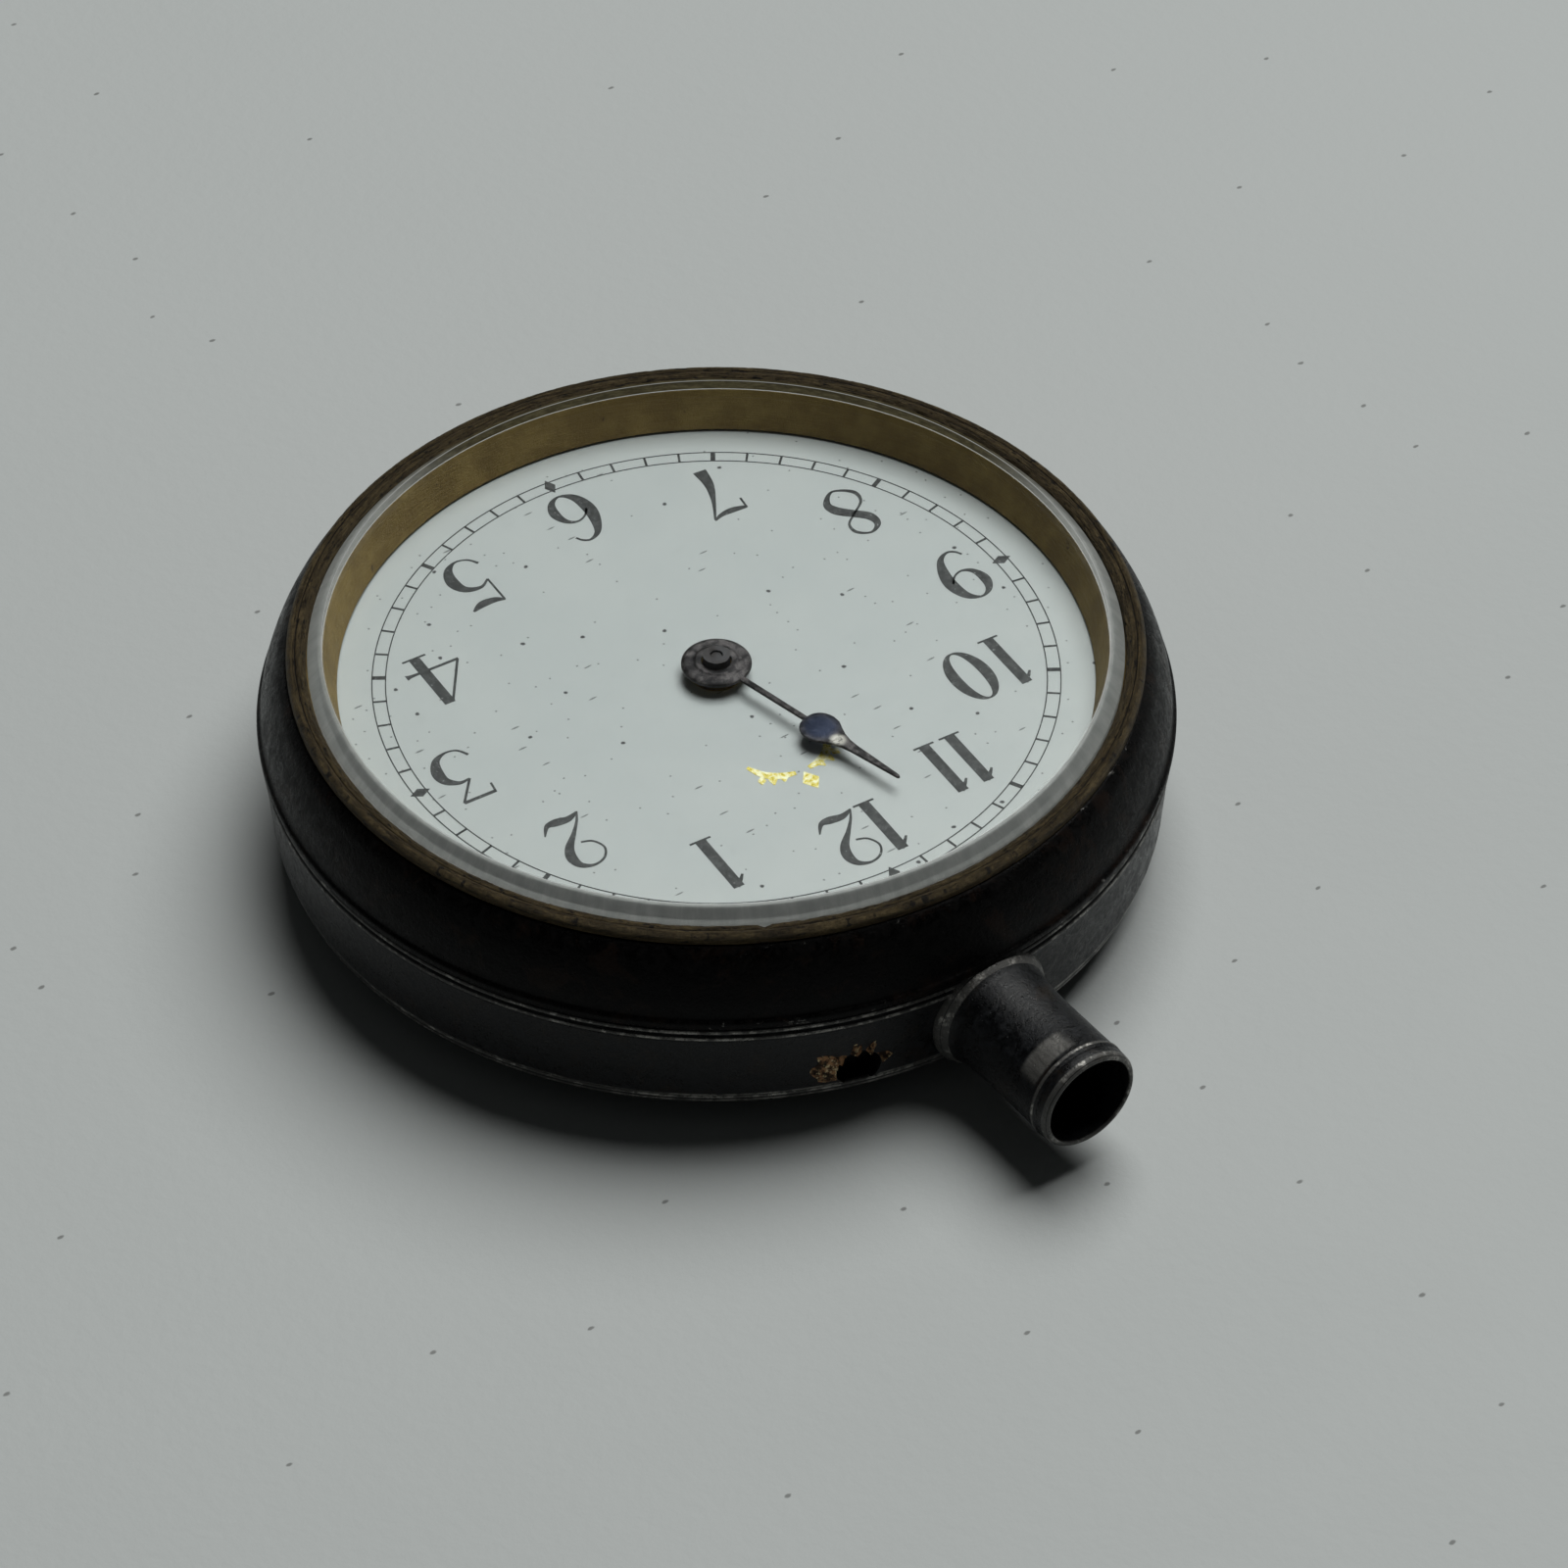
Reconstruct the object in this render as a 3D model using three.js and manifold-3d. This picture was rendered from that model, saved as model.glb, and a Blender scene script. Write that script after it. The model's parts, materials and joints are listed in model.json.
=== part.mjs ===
// Open-face pocket watch: a hinged case on a domed back, holding a lever
// movement with its dial and hour hand. Millimetres, +Z out of the dial,
// +Y towards the pendant, origin at the centre of the back's flat foot.
import * as THREE from 'three';
import { mergeVertices } from 'three/addons/utils/BufferGeometryUtils.js';
import Module from 'manifold-3d';

const wasm = await Module();
wasm.setup();

const TAU = 2 * Math.PI;
const ROUND = 48;          // facets of the large turned pieces
const SMALL = 10;          // facets of arbors, screws and their holes
const RUNNING = 0.05;      // radial play of a shaft in its hole

// ---- Driving dimensions -------------------------------------------------
const CASE_RADIUS = 24.05;         // bezel at its widest
const BAND_TOP = 7.6;              // seam between band and bezel
const BAND_BOTTOM = 2.6;           // seam between band and back
const BAND_RADIUS = 23.9;
const BAND_FOOT_RADIUS = 23.5;     // the band tapers towards the back
const SNAP_RADIUS = 22.9;          // rim that the bezel snaps over
const SEAT_RADIUS = 21.3;          // bore that the movement drops into
const LEDGE_RADIUS = 20.2;
const LIP_RADIUS = 22.3;           // brass lip round the glass
const LIP_TOP = 12.6;
const LIP_FOOT = 12;               // the lip rests on the bezel here
const LIP_BORE = 21.3;
const WALL = { inner: 19.75, outer: 21.6, bottom: 9.6 };    // gilt wall under the glass
const BEZEL_TOP = 11.95;
const BEZEL_BORE = 21.65;
const GLASS_SEAT = 11.85;
const GLASS_BOTTOM = 11.87;
const GLASS_TOP = 13.0;
const GLASS_RADIUS = 21.2;
const BACK_FOOT_RADIUS = 10;       // flat that the watch rests on
const BACK_RADIUS = 23.4;
const BACK_WALL = 0.6;

const BAND_WALL = 22.4;             // inside of the band at its foot
const SNAP_TOP = 8.6;
const SEAM_GAP = 0.05;
const PENDANT = { radius: 2.93, bore: 2.5, end: 32, axisZ: 4.65, stemBore: 1.5 };
const PIN_HOLE = { radius: 1.2, z: 3.6, turn: THREE.MathUtils.degToRad(-18) };
const HINGE = { y: -24.5, z: 2.75, radius: 0.75, pin: 0.35, half: 4.5, middle: 1.9 };

const PLATE = { radius: 20.9, bottom: 6.5, top: 7.4, dialSeat: 19.8 };
const BRIDGE = { bottom: 2.9, top: 3.8, rim: 19 };
const COCK = { bottom: 2.0, top: 2.8 };
const DIAL = { radius: 20.6, bottom: 8.55, top: 9.45, hole: 1.3 };
const DIAL_TURN = THREE.MathUtils.degToRad(-4.8);    // dial fitted slightly off the pendant
const HAND_TURN = THREE.MathUtils.degToRad(11.2);

// Layers of the movement, each from its back face to its dial face.
const LEVEL = {
  capPlate: [1.55, 1.95],
  regulator: [1.6, 1.9],
  winding: [2.2, 2.7],             // ratchet wheel, crown wheel and click
  clickSpring: [2.3, 2.65],
  hairspring: [3.15, 3.4],
  balanceRim: [3.85, 4.3],
  centreWheel: [3.95, 4.25],
  thirdLeaves: [3.9, 4.35],
  yoke: [4.5, 4.85],
  palletStrap: [4.65, 5.05],
  fourthLeaves: [4.65, 5.15],
  thirdWheel: [4.8, 5],
  mainspring: [4.95, 5.7],
  roller: [5, 5.2],
  escapement: [5.3, 5.5],          // escape wheel and pallet fork
  centreLeaves: [5.65, 6.3],
  escapeLeaves: [5.8, 6.2],
  fourthWheel: [5.85, 6.1],
  cannonLeaves: [7.5, 7.9],
  motionWork: [7.55, 7.8],         // minute wheel and setting wheel
  minuteLeaves: [7.75, 8.35],
  hourWheel: [8, 8.25],
  hand: [10.1, 10.3],
};

// ---- Train: centres, teeth and pitch radii --------------------------------
const polar = (radius, degrees) => ({
  x: radius * Math.cos(THREE.MathUtils.degToRad(degrees)),
  y: radius * Math.sin(THREE.MathUtils.degToRad(degrees)),
});
const from = (centre, radius, degrees) => {
  const step = polar(radius, degrees);
  return { x: centre.x + step.x, y: centre.y + step.y };
};
const CENTRE = { x: 0, y: 0 };
const BARREL = from(CENTRE, 8.1, 134.75);
const CROWN_WHEEL = { x: 0, y: 11.07 };
const THIRD = from(CENTRE, 6.3, 10);
const FOURTH = from(THIRD, 5.1, -75);
const ESCAPE = from(FOURTH, 4.8, -120);
const BALANCE = { x: -3.3, y: -12 };
const LEVER_ANGLE = Math.atan2(BALANCE.y - ESCAPE.y, BALANCE.x - ESCAPE.x);
const PALLET_SPAN = 4.33;          // escape wheel centre to pallet arbor
const PALLET = {
  x: ESCAPE.x + PALLET_SPAN * Math.cos(LEVER_ANGLE),
  y: ESCAPE.y + PALLET_SPAN * Math.sin(LEVER_ANGLE),
};
const MINUTE = from(CENTRE, 4, 70);
const SETTING = from(MINUTE, 7, 95);
const CLICK = from(BARREL, 6.5, 200);
const YOKE = { x: 4.4, y: 13.2 };
const COCK_FOOT = { x: -11.6, y: -9.8 };

const distance = (a, b) => Math.hypot(a.x - b.x, a.y - b.y);

// A wheel and the pinion it drives share their centre distance by their teeth.
function gearPair(a, teethA, b, teethB) {
  const module = 2 * distance(a, b) / (teethA + teethB);
  return [
    { teeth: teethA, module, radius: module * teethA / 2 },
    { teeth: teethB, module, radius: module * teethB / 2 },
  ];
}
const [barrelGear, centrePinionGear] = gearPair(BARREL, 48, CENTRE, 6);
const [centreGear, thirdPinionGear] = gearPair(CENTRE, 45, THIRD, 6);
const [thirdGear, fourthPinionGear] = gearPair(THIRD, 48, FOURTH, 6);
const [fourthGear, escapePinionGear] = gearPair(FOURTH, 60, ESCAPE, 6);
const [ratchetGear, crownGear] = gearPair(BARREL, 32, CROWN_WHEEL, 24);
const [cannonGear, minuteGear] = gearPair(CENTRE, 8, MINUTE, 24);
const [minutePinionGear, hourGear] = gearPair(MINUTE, 6, CENTRE, 24);
const [, settingGear] = gearPair(MINUTE, 24, SETTING, 32);

// The turn that puts a gap of the second gear on a tooth of the first.
function phaseInMesh(a, gearA, phaseA, b, gearB) {
  const line = Math.atan2(b.y - a.y, b.x - a.x);
  const tooth = (line - phaseA) * gearA.teeth / TAU;
  return line + Math.PI - (0.5 - tooth) * TAU / gearB.teeth;
}

// ---- Materials -------------------------------------------------------------
const material = (color, metalness, roughness) =>
  new THREE.MeshStandardMaterial({ color, metalness, roughness });
const gunmetal = () => material(0x2b2826, 0.9, 0.38);
const brass = () => material(0xb08d3f, 0.9, 0.35);
const wornBrass = () => material(0x6f5d34, 0.8, 0.5);
const gilt = () => material(0xc9a75a, 0.9, 0.4);
const steel = () => material(0xa8abb0, 0.95, 0.28);
const bluedSteel = () => material(0x1e2a4a, 0.9, 0.3);
const blackSteel = () => material(0x2a2624, 0.8, 0.45);
const enamel = () => material(0xeef1f2, 0, 0.2);
const ruby = () => material(0xa01838, 0, 0.1);
function glass() {
  const clear = material(0xf4f8f8, 0, 0.03);
  clear.transparent = true;
  clear.opacity = 0.25;
  return clear;
}

// ---- Solids ------------------------------------------------------------------
// Moves every corner exactly, so that planes shared by two pieces stay shared.
function mapCorners(geometry, place) {
  const corners = geometry.attributes.position;
  for (let i = 0; i < corners.count; i += 1) {
    corners.setXYZ(i, ...place(corners.getX(i), corners.getY(i), corners.getZ(i)));
  }
  return geometry;
}
const standUp = (geometry) => mapCorners(geometry, (x, y, z) => [x, -z, y]);
const layAlongY = (geometry) => mapCorners(geometry, (x, y, z) => [x, z, -y]);
const layAlongX = (geometry) => mapCorners(geometry, (x, y, z) => [z, x, y]);

function solid(geometry) {
  geometry.deleteAttribute('normal');
  geometry.deleteAttribute('uv');
  const merged = mergeVertices(geometry, 1e-5);
  const index = merged.index.array;
  const triangles = [];
  for (let i = 0; i < index.length; i += 3) {
    const [a, b, c] = [index[i], index[i + 1], index[i + 2]];
    if (a !== b && b !== c && c !== a) {
      triangles.push(a, b, c);
    }
  }
  return new wasm.Manifold(new wasm.Mesh({
    numProp: 3,
    vertProperties: Float32Array.from(merged.attributes.position.array),
    triVerts: Uint32Array.from(triangles),
  }));
}
const join = (first, ...others) => others.reduce((sum, other) => sum.add(other), first);
const cut = (first, ...others) => others.reduce((rest, other) => rest.subtract(other), first);

// An outline of [radius, height] points turned about Z. An outline that starts
// on the axis ends on it, and any other closes on itself.
function turned(outline, segments = ROUND) {
  const onAxis = outline[0][0] === 0;
  const loop = onAxis ? outline : [...outline, outline[0]];
  const profile = loop.map(([radius, height]) => new THREE.Vector2(radius, height));
  return solid(standUp(new THREE.LatheGeometry(profile, segments)));
}
const ring = (inner, outer, bottom, top, segments = ROUND) =>
  turned([[inner, bottom], [outer, bottom], [outer, top], [inner, top]], segments);
const disc = (radius, bottom, top, segments = ROUND) =>
  turned([[0, bottom], [radius, bottom], [radius, top], [0, top]], segments);
const rod = (radius, bottom, top, segments = SMALL) => disc(radius, bottom, top, segments);
const at = (piece, place) => piece.translate([place.x, place.y, 0]);
const hole = (place, radius, bottom, top) => at(rod(radius, bottom - 1, top + 1), place);

function flat(shape, bottom, top, curveSegments = SMALL) {
  const settings = { depth: top - bottom, bevelEnabled: false, curveSegments };
  const geometry = new THREE.ExtrudeGeometry(shape, settings);
  return solid(mapCorners(geometry, (x, y, z) => [x, y, z > 0 ? top : bottom]));
}
const outlineOf = (points) => new THREE.Shape(points.map(([x, y]) => new THREE.Vector2(x, y)));
function circlePath(radius, x = 0, y = 0) {
  const path = new THREE.Path();
  path.absarc(x, y, radius, 0, TAU, true);
  return path;
}

// Straight-sided teeth, narrow enough to turn freely in mesh. A wheel's teeth
// meet in V-shaped gaps, and a pinion's leaves stand apart on a round root.
const TIP = 0.8;
const WHEEL_ROOT = 1.5;
const PINION_ROOT = 1.3;
function toothPoints(gear, phase, corners) {
  const points = [];
  const step = TAU / gear.teeth;
  for (let tooth = 0; tooth < gear.teeth; tooth += 1) {
    for (const [share, height] of corners) {
      const angle = phase + (tooth + share) * step;
      const radius = gear.radius + height * gear.module;
      points.push([radius * Math.cos(angle), radius * Math.sin(angle)]);
    }
  }
  return points;
}
const wheelShape = (gear, phase = 0) =>
  outlineOf(toothPoints(gear, phase, [[-0.1, TIP], [0.1, TIP], [0.5, -WHEEL_ROOT]]));
const pinionShape = (gear, phase = 0) => outlineOf(toothPoints(gear, phase,
  [[-0.22, -PINION_ROOT], [-0.09, TIP], [0.09, TIP], [0.22, -PINION_ROOT]]));

// Windows between the spokes of a wheel.
function spokeWindows(shape, count, hub, rim, spoke) {
  for (let i = 0; i < count; i += 1) {
    const start = i * TAU / count;
    const inner = Math.asin(spoke / 2 / hub);
    const outer = Math.asin(spoke / 2 / rim);
    const end = start + TAU / count;
    const path = new THREE.Path();
    path.absarc(0, 0, hub, start + inner, end - inner, false);
    path.absarc(0, 0, rim, end - outer, start + outer, true);
    path.closePath();
    shape.holes.push(path);
  }
}
function spokedWheel(gear, phase, bottom, top, { hub, rim, bore, spoke }) {
  const shape = wheelShape(gear, phase);
  spokeWindows(shape, 4, hub, rim, spoke);
  shape.holes.push(circlePath(bore));
  return flat(shape, bottom, top, 3);
}

// An arbor with leaves cut on it and a thin pivot at each end.
function pinionArbor(gear, phase, leaves, arbor, pivots) {
  return join(
    flat(pinionShape(gear, phase), leaves[0], leaves[1]),
    rod(arbor.radius, arbor.bottom, arbor.top),
    rod(pivots.radius, pivots.bottom, pivots.top),
  );
}

function capsule(a, b, radiusA, radiusB) {
  const along = Math.atan2(b.y - a.y, b.x - a.x);
  const shape = new THREE.Shape();
  shape.absarc(a.x, a.y, radiusA, along + Math.PI / 2, along + 3 * Math.PI / 2, false);
  shape.absarc(b.x, b.y, radiusB, along - Math.PI / 2, along + Math.PI / 2, false);
  shape.closePath();
  return shape;
}
function sector(inner, outer, startDegrees, endDegrees) {
  const [start, end] = [startDegrees, endDegrees].map(THREE.MathUtils.degToRad);
  const shape = new THREE.Shape();
  shape.absarc(0, 0, outer, start, end, false);
  shape.absarc(0, 0, inner, end, start, true);
  shape.closePath();
  return shape;
}

// A flat strip wound into an open spiral.
function spiral({ inner, outer, turns, thickness }, bottom, top, perTurn) {
  const steps = Math.round(turns * perTurn);
  const side = (offset) => Array.from({ length: steps + 1 }, (_, i) => {
    const angle = i / perTurn * TAU;
    const radius = inner + (outer - inner) * i / steps + offset;
    return [radius * Math.cos(angle), radius * Math.sin(angle)];
  });
  const points = [...side(thickness / 2), ...side(-thickness / 2).reverse()];
  return flat(outlineOf(points), bottom, top);
}

// A cheese-headed screw, its head on the back side of a bridge.
const SCREW = { head: 0.85, headHeight: 0.5, shank: 0.42, slot: 0.22, slotDepth: 0.2 };
function screw(seat, length) {
  const head = rod(SCREW.head, seat - SCREW.headHeight, seat, 12);
  const slotBox = new THREE.BoxGeometry(3 * SCREW.head, SCREW.slot, 2 * SCREW.slotDepth);
  const slot = solid(slotBox).translate([0, 0, seat - SCREW.headHeight]);
  return cut(join(head, rod(SCREW.shank, seat - 0.1, seat + length)), slot);
}

// ---- The watch ------------------------------------------------------------------
const watch = new THREE.Group();

function add(name, piece, finish, place = CENTRE, turn = 0, parent = watch) {
  const { vertProperties, triVerts } = piece.getMesh();
  const geometry = new THREE.BufferGeometry();
  geometry.setAttribute('position', new THREE.BufferAttribute(vertProperties, 3));
  geometry.setIndex(new THREE.BufferAttribute(triVerts, 1));
  geometry.computeVertexNormals();
  const mesh = new THREE.Mesh(geometry, finish);
  mesh.name = name;
  mesh.position.set(place.x, place.y, 0);
  mesh.rotation.z = turn;
  parent.add(mesh);
  return mesh;
}

// Case ---------------------------------------------------------------------------
const alongX = (radius, start, end) => {
  const round = layAlongX(new THREE.CylinderGeometry(radius, radius, 1, 16).rotateX(Math.PI / 2));
  return solid(round).scale([end - start, 1, 1]).translate([(start + end) / 2, HINGE.y, HINGE.z]);
};
const block = (x, y, z, sx, sy, sz) => solid(new THREE.BoxGeometry(sx, sy, sz)).translate([x, y, z]);

function knuckle(start, end, rimY, blockBottom, blockTop) {
  const middle = (start + end) / 2;
  const width = end - start;
  const leaf = block(middle, (rimY + HINGE.y) / 2, (blockBottom + blockTop) / 2,
    width, Math.abs(HINGE.y - rimY), blockTop - blockBottom);
  return join(alongX(HINGE.radius, start, end), leaf);
}

function stemBore(radius, start, end) {
  const bore = layAlongY(new THREE.CylinderGeometry(radius, radius, 1, 32).rotateX(Math.PI / 2));
  return solid(bore).scale([1, end - start, 1]).translate([0, (start + end) / 2, PENDANT.axisZ]);
}

function midCase() {
  const band = turned([
    [BAND_WALL, BAND_BOTTOM], [BAND_FOOT_RADIUS, BAND_BOTTOM], [BAND_RADIUS, BAND_TOP - 0.2],
    [BAND_RADIUS - 0.15, BAND_TOP], [SNAP_RADIUS, BAND_TOP],
    [SNAP_RADIUS, SNAP_TOP], [SEAT_RADIUS, SNAP_TOP],
    [SEAT_RADIUS, PLATE.bottom], [LEDGE_RADIUS, PLATE.bottom], [LEDGE_RADIUS, 5.7], [BAND_WALL, 5.7],
  ]);
  const pinHole = solid(layAlongY(new THREE.CylinderGeometry(PIN_HOLE.radius, PIN_HOLE.radius, 6, 24)
    .rotateX(Math.PI / 2)))
    .translate([0, 24, PIN_HOLE.z])
    .rotate([0, 0, THREE.MathUtils.radToDeg(PIN_HOLE.turn)]);
  const reach = HINGE.middle + 0.05;
  const knuckles = [[-HINGE.half, -reach], [reach, HINGE.half]].map(([start, end]) =>
    knuckle(start, end, -23.2, HINGE.z, HINGE.z + 0.6));
  const inside = disc(22.6, 1, 5.6);
  return cut(join(band, ...knuckles.map((k) => cut(k, inside))),
    stemBore(PENDANT.stemBore, 19, 26), pinHole, alongX(HINGE.pin + 0.02, -5, 5));
}

// The dome is an elliptical curve from the flat foot up to the rim.
function domeHeight(radius, rise) {
  const share = Math.max(0, (radius - BACK_FOOT_RADIUS) / (BACK_RADIUS - BACK_FOOT_RADIUS));
  return rise * (1 - Math.sqrt(Math.max(0, 1 - share * share)));
}
function backCover() {
  const rise = 2.1;
  const stations = [0, BACK_FOOT_RADIUS, 15, 19, 21.6, 22.9, BACK_RADIUS];
  const outer = stations.map((radius) => [radius, domeHeight(radius, rise)]);
  const inner = [[22.2, 3.3], [21.7, 3.3], [21.7, 2.05], [19.5, 1.35],
    [15.5, 0.8], [BACK_FOOT_RADIUS, BACK_WALL], [0, BACK_WALL]];
  const shell = turned([...outer, [BACK_RADIUS, 2.5], [22.2, 2.5], ...inner]);
  const leaf = knuckle(-HINGE.middle, HINGE.middle, -23.2, HINGE.z - 0.6, HINGE.z - 0.25);
  const bandSpace = ring(22.25, 23.65, 2.51, 5);
  return cut(join(shell, cut(leaf, bandSpace)), alongX(HINGE.pin + RUNNING, -5, 5));
}

function bezel() {
  return turned([
    [SNAP_RADIUS + SEAM_GAP, BAND_TOP + SEAM_GAP], [CASE_RADIUS - 0.2, BAND_TOP + SEAM_GAP],
    [CASE_RADIUS, 7.9], [CASE_RADIUS, 8.3], [23.75, 9.3], [23.3, 10.5], [22.75, 11.5],
    [LIP_RADIUS, BEZEL_TOP], [BEZEL_BORE, BEZEL_TOP],
    [BEZEL_BORE, SNAP_TOP + 0.1], [SNAP_RADIUS + SEAM_GAP, SNAP_TOP + 0.1],
  ]);
}

function crystalRing() {
  return turned([
    [WALL.inner, WALL.bottom], [WALL.outer, WALL.bottom], [WALL.outer, LIP_FOOT],
    [LIP_RADIUS, LIP_FOOT], [LIP_RADIUS, LIP_TOP - 0.2], [LIP_RADIUS - 0.25, LIP_TOP],
    [LIP_BORE + 0.2, LIP_TOP], [LIP_BORE, LIP_TOP - 0.2], [LIP_BORE, GLASS_SEAT], [20.45, GLASS_SEAT],
  ]);
}

const crystal = () => turned([
  [0, GLASS_BOTTOM], [GLASS_RADIUS, GLASS_BOTTOM], [GLASS_RADIUS, GLASS_BOTTOM + 0.43],
  [GLASS_RADIUS - 0.5, GLASS_TOP], [0, GLASS_TOP],
]);

function pendantTube() {
  const outside = stemBore(PENDANT.radius, 22, PENDANT.end);
  return cut(outside, stemBore(PENDANT.bore, 20, PENDANT.end + 2), disc(24, 0, 10));
}

// What is left of the soldered brass boss that guided the setting pin.
function pinBoss() {
  const torn = outlineOf([
    [1.45, -0.2], [2.0, 0.15], [1.75, 0.7], [1.95, 1.2], [1.3, 1.35], [1.0, 1.9], [0.4, 1.6],
    [-0.1, 2.0], [-0.7, 1.55], [-1.3, 1.8], [-1.5, 1.15], [-2.1, 1.0], [-2.0, 0.3], [-2.6, -0.5],
    [-1.7, -0.8], [-1.3, -0.75], [-1.35, 0.3], [-0.9, 1.05], [0, 1.4], [0.9, 1.1], [1.35, 0.4],
  ]);
  const upright = new THREE.ExtrudeGeometry(torn, { depth: 0.3, bevelEnabled: false });
  return solid(standUp(upright)).rotate([0, 0, 180]).translate([0, 23.78, PIN_HOLE.z]);
}

const pinTurn = new THREE.Group();
pinTurn.rotation.z = PIN_HOLE.turn;
watch.add(pinTurn);

add('back_cover', backCover(), gunmetal());
add('mid_case', midCase(), gunmetal());
add('hinge_pin', alongX(HINGE.pin, -HINGE.half, HINGE.half), steel());
add('pendant_tube', pendantTube(), gunmetal());
add('setting_pin_boss', pinBoss(), brass(), CENTRE, 0, pinTurn);
add('bezel', bezel(), gunmetal());
add('crystal_ring', crystalRing(), wornBrass());
add('crystal', crystal(), glass());

// Plate, bridges and cocks ------------------------------------------------------------
const DIAL_FEET = [polar(18.6, 40), polar(18.6, 250)];
const DIAL_FOOT = 0.5;             // radius of a foot
const BARREL_ARBOR = 0.7;
const BARREL_ARBOR_HOLE = 0.75;
const PIVOT_HOLE = 0.3;
const SCREW_HOLE = SCREW.shank + RUNNING;

// Each bridge starts inside, meets the rim, follows it between two angles and comes
// back by curves, every one written as its control point and its end.
const BARREL_BRIDGE = {
  start: [5.2, 6.5],
  rim: [62, 203],
  curves: [[-8.5, -6.6, -5, -3.6], [-2.5, -1.6, 0.3, -2.6], [3.4, -2.2, 3.2, 0.8], [2.6, 4.2, 5.2, 6.5]],
  legs: [[16.1, 102, 200], [15.5, 62, 74]],
  screws: [polar(17.4, 118), polar(17.4, 192), polar(17.2, 66)],
};
const TRAIN_BRIDGE = {
  start: [7, -12],
  rim: [-50, 17],
  curves: [[11.5, 3.6, 7.6, 3.7], [4.4, 3.6, 4.4, 0.6], [5.2, -3.4, 3.6, -6.2], [2.9, -9.6, 7, -12]],
  legs: [[14.2, -46, 14]],
  screws: [polar(16.6, 6), polar(16.6, -38)],
};

const CENTRE_HOLE = 0.5;
function mainPlate() {
  const plate = turned([
    [0, PLATE.bottom], [PLATE.radius, PLATE.bottom], [PLATE.radius, DIAL.bottom],
    [PLATE.dialSeat, DIAL.bottom], [PLATE.dialSeat, PLATE.top], [0, PLATE.top],
  ]);
  const bore = (place, radius) => hole(place, radius, PLATE.bottom, PLATE.top);
  return cut(plate,
    bore(CENTRE, CENTRE_HOLE), bore(BARREL, BARREL_ARBOR_HOLE),
    ...[THIRD, FOURTH, ESCAPE, PALLET, BALANCE].map((place) => bore(place, PIVOT_HOLE)),
    ...[...BARREL_BRIDGE.screws, ...TRAIN_BRIDGE.screws, COCK_FOOT].map((p) => bore(p, SCREW_HOLE)),
    ...DIAL_FEET.map((place) => at(rod(DIAL_FOOT + 0.1, 5, 8.4), place)));
}

function bridge({ start, rim, curves, legs, screws }) {
  const shape = new THREE.Shape();
  const meeting = polar(BRIDGE.rim, rim[0]);
  shape.moveTo(...start);
  shape.lineTo(meeting.x, meeting.y);
  shape.absarc(0, 0, BRIDGE.rim, THREE.MathUtils.degToRad(rim[0]), THREE.MathUtils.degToRad(rim[1]), false);
  curves.forEach((curve) => shape.quadraticCurveTo(...curve));
  const feet = legs.map(([inner, first, last]) =>
    flat(sector(inner, BRIDGE.rim, first, last), BRIDGE.top, PLATE.bottom, 5));
  return cut(join(flat(shape, BRIDGE.bottom, BRIDGE.top, 8), ...feet),
    ...screws.map((place) => hole(place, SCREW_HOLE, BRIDGE.bottom, PLATE.top)));
}

const BRIDGE_ARBOR_HOLE = 1.3;     // clears the shoulder of the barrel arbor
function barrelBridge() {
  const stemSlot = block(0, 16.9, 3.3, 4.2, 4.8, 3);
  const clutchSlot = block(0, 13.2, 3.6, 2.8, 3.2, 1.1);
  const bore = (place, radius) => hole(place, radius, BRIDGE.bottom, BRIDGE.top);
  return cut(bridge(BARREL_BRIDGE), stemSlot, clutchSlot, bore(CENTRE, PIVOT_HOLE),
    bore(BARREL, BRIDGE_ARBOR_HOLE), bore(CROWN_WHEEL, SCREW_HOLE), bore(CLICK, SCREW_HOLE));
}

function trainBridge() {
  return cut(bridge(TRAIN_BRIDGE), ...[THIRD, FOURTH, ESCAPE].map((place) =>
    hole(place, JEWEL.radius + RUNNING, BRIDGE.bottom, BRIDGE.top)));
}

const JEWEL = { radius: 0.85, height: 0.5 };
const jewel = (bottom) => ring(PIVOT_HOLE, JEWEL.radius, bottom, bottom + JEWEL.height, 12);

function balanceCock() {
  const arm = flat(capsule(BALANCE, COCK_FOOT, 1.5, 2), COCK.bottom, COCK.top);
  const foot = flat(capsule(COCK_FOOT, from(COCK_FOOT, 1, 150), 1.7, 1.7), COCK.top, PLATE.bottom);
  return cut(join(arm, foot),
    hole(BALANCE, JEWEL.radius + RUNNING, COCK.bottom, COCK.top),
    hole(COCK_FOOT, SCREW_HOLE, COCK.bottom, PLATE.top));
}

const leverPoint = (along, across) => ({
  x: PALLET.x + along * Math.cos(LEVER_ANGLE) - across * Math.sin(LEVER_ANGLE),
  y: PALLET.y + along * Math.sin(LEVER_ANGLE) + across * Math.cos(LEVER_ANGLE),
});
function palletCock() {
  const [bottom, top] = LEVEL.palletStrap;
  const foot = leverPoint(1.2, 3.5);
  const strap = flat(capsule(PALLET, foot, 0.8, 0.9), bottom, top);
  return cut(join(strap, at(rod(0.85, top, PLATE.bottom), foot)), hole(PALLET, PIVOT_HOLE, bottom, top));
}

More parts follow.
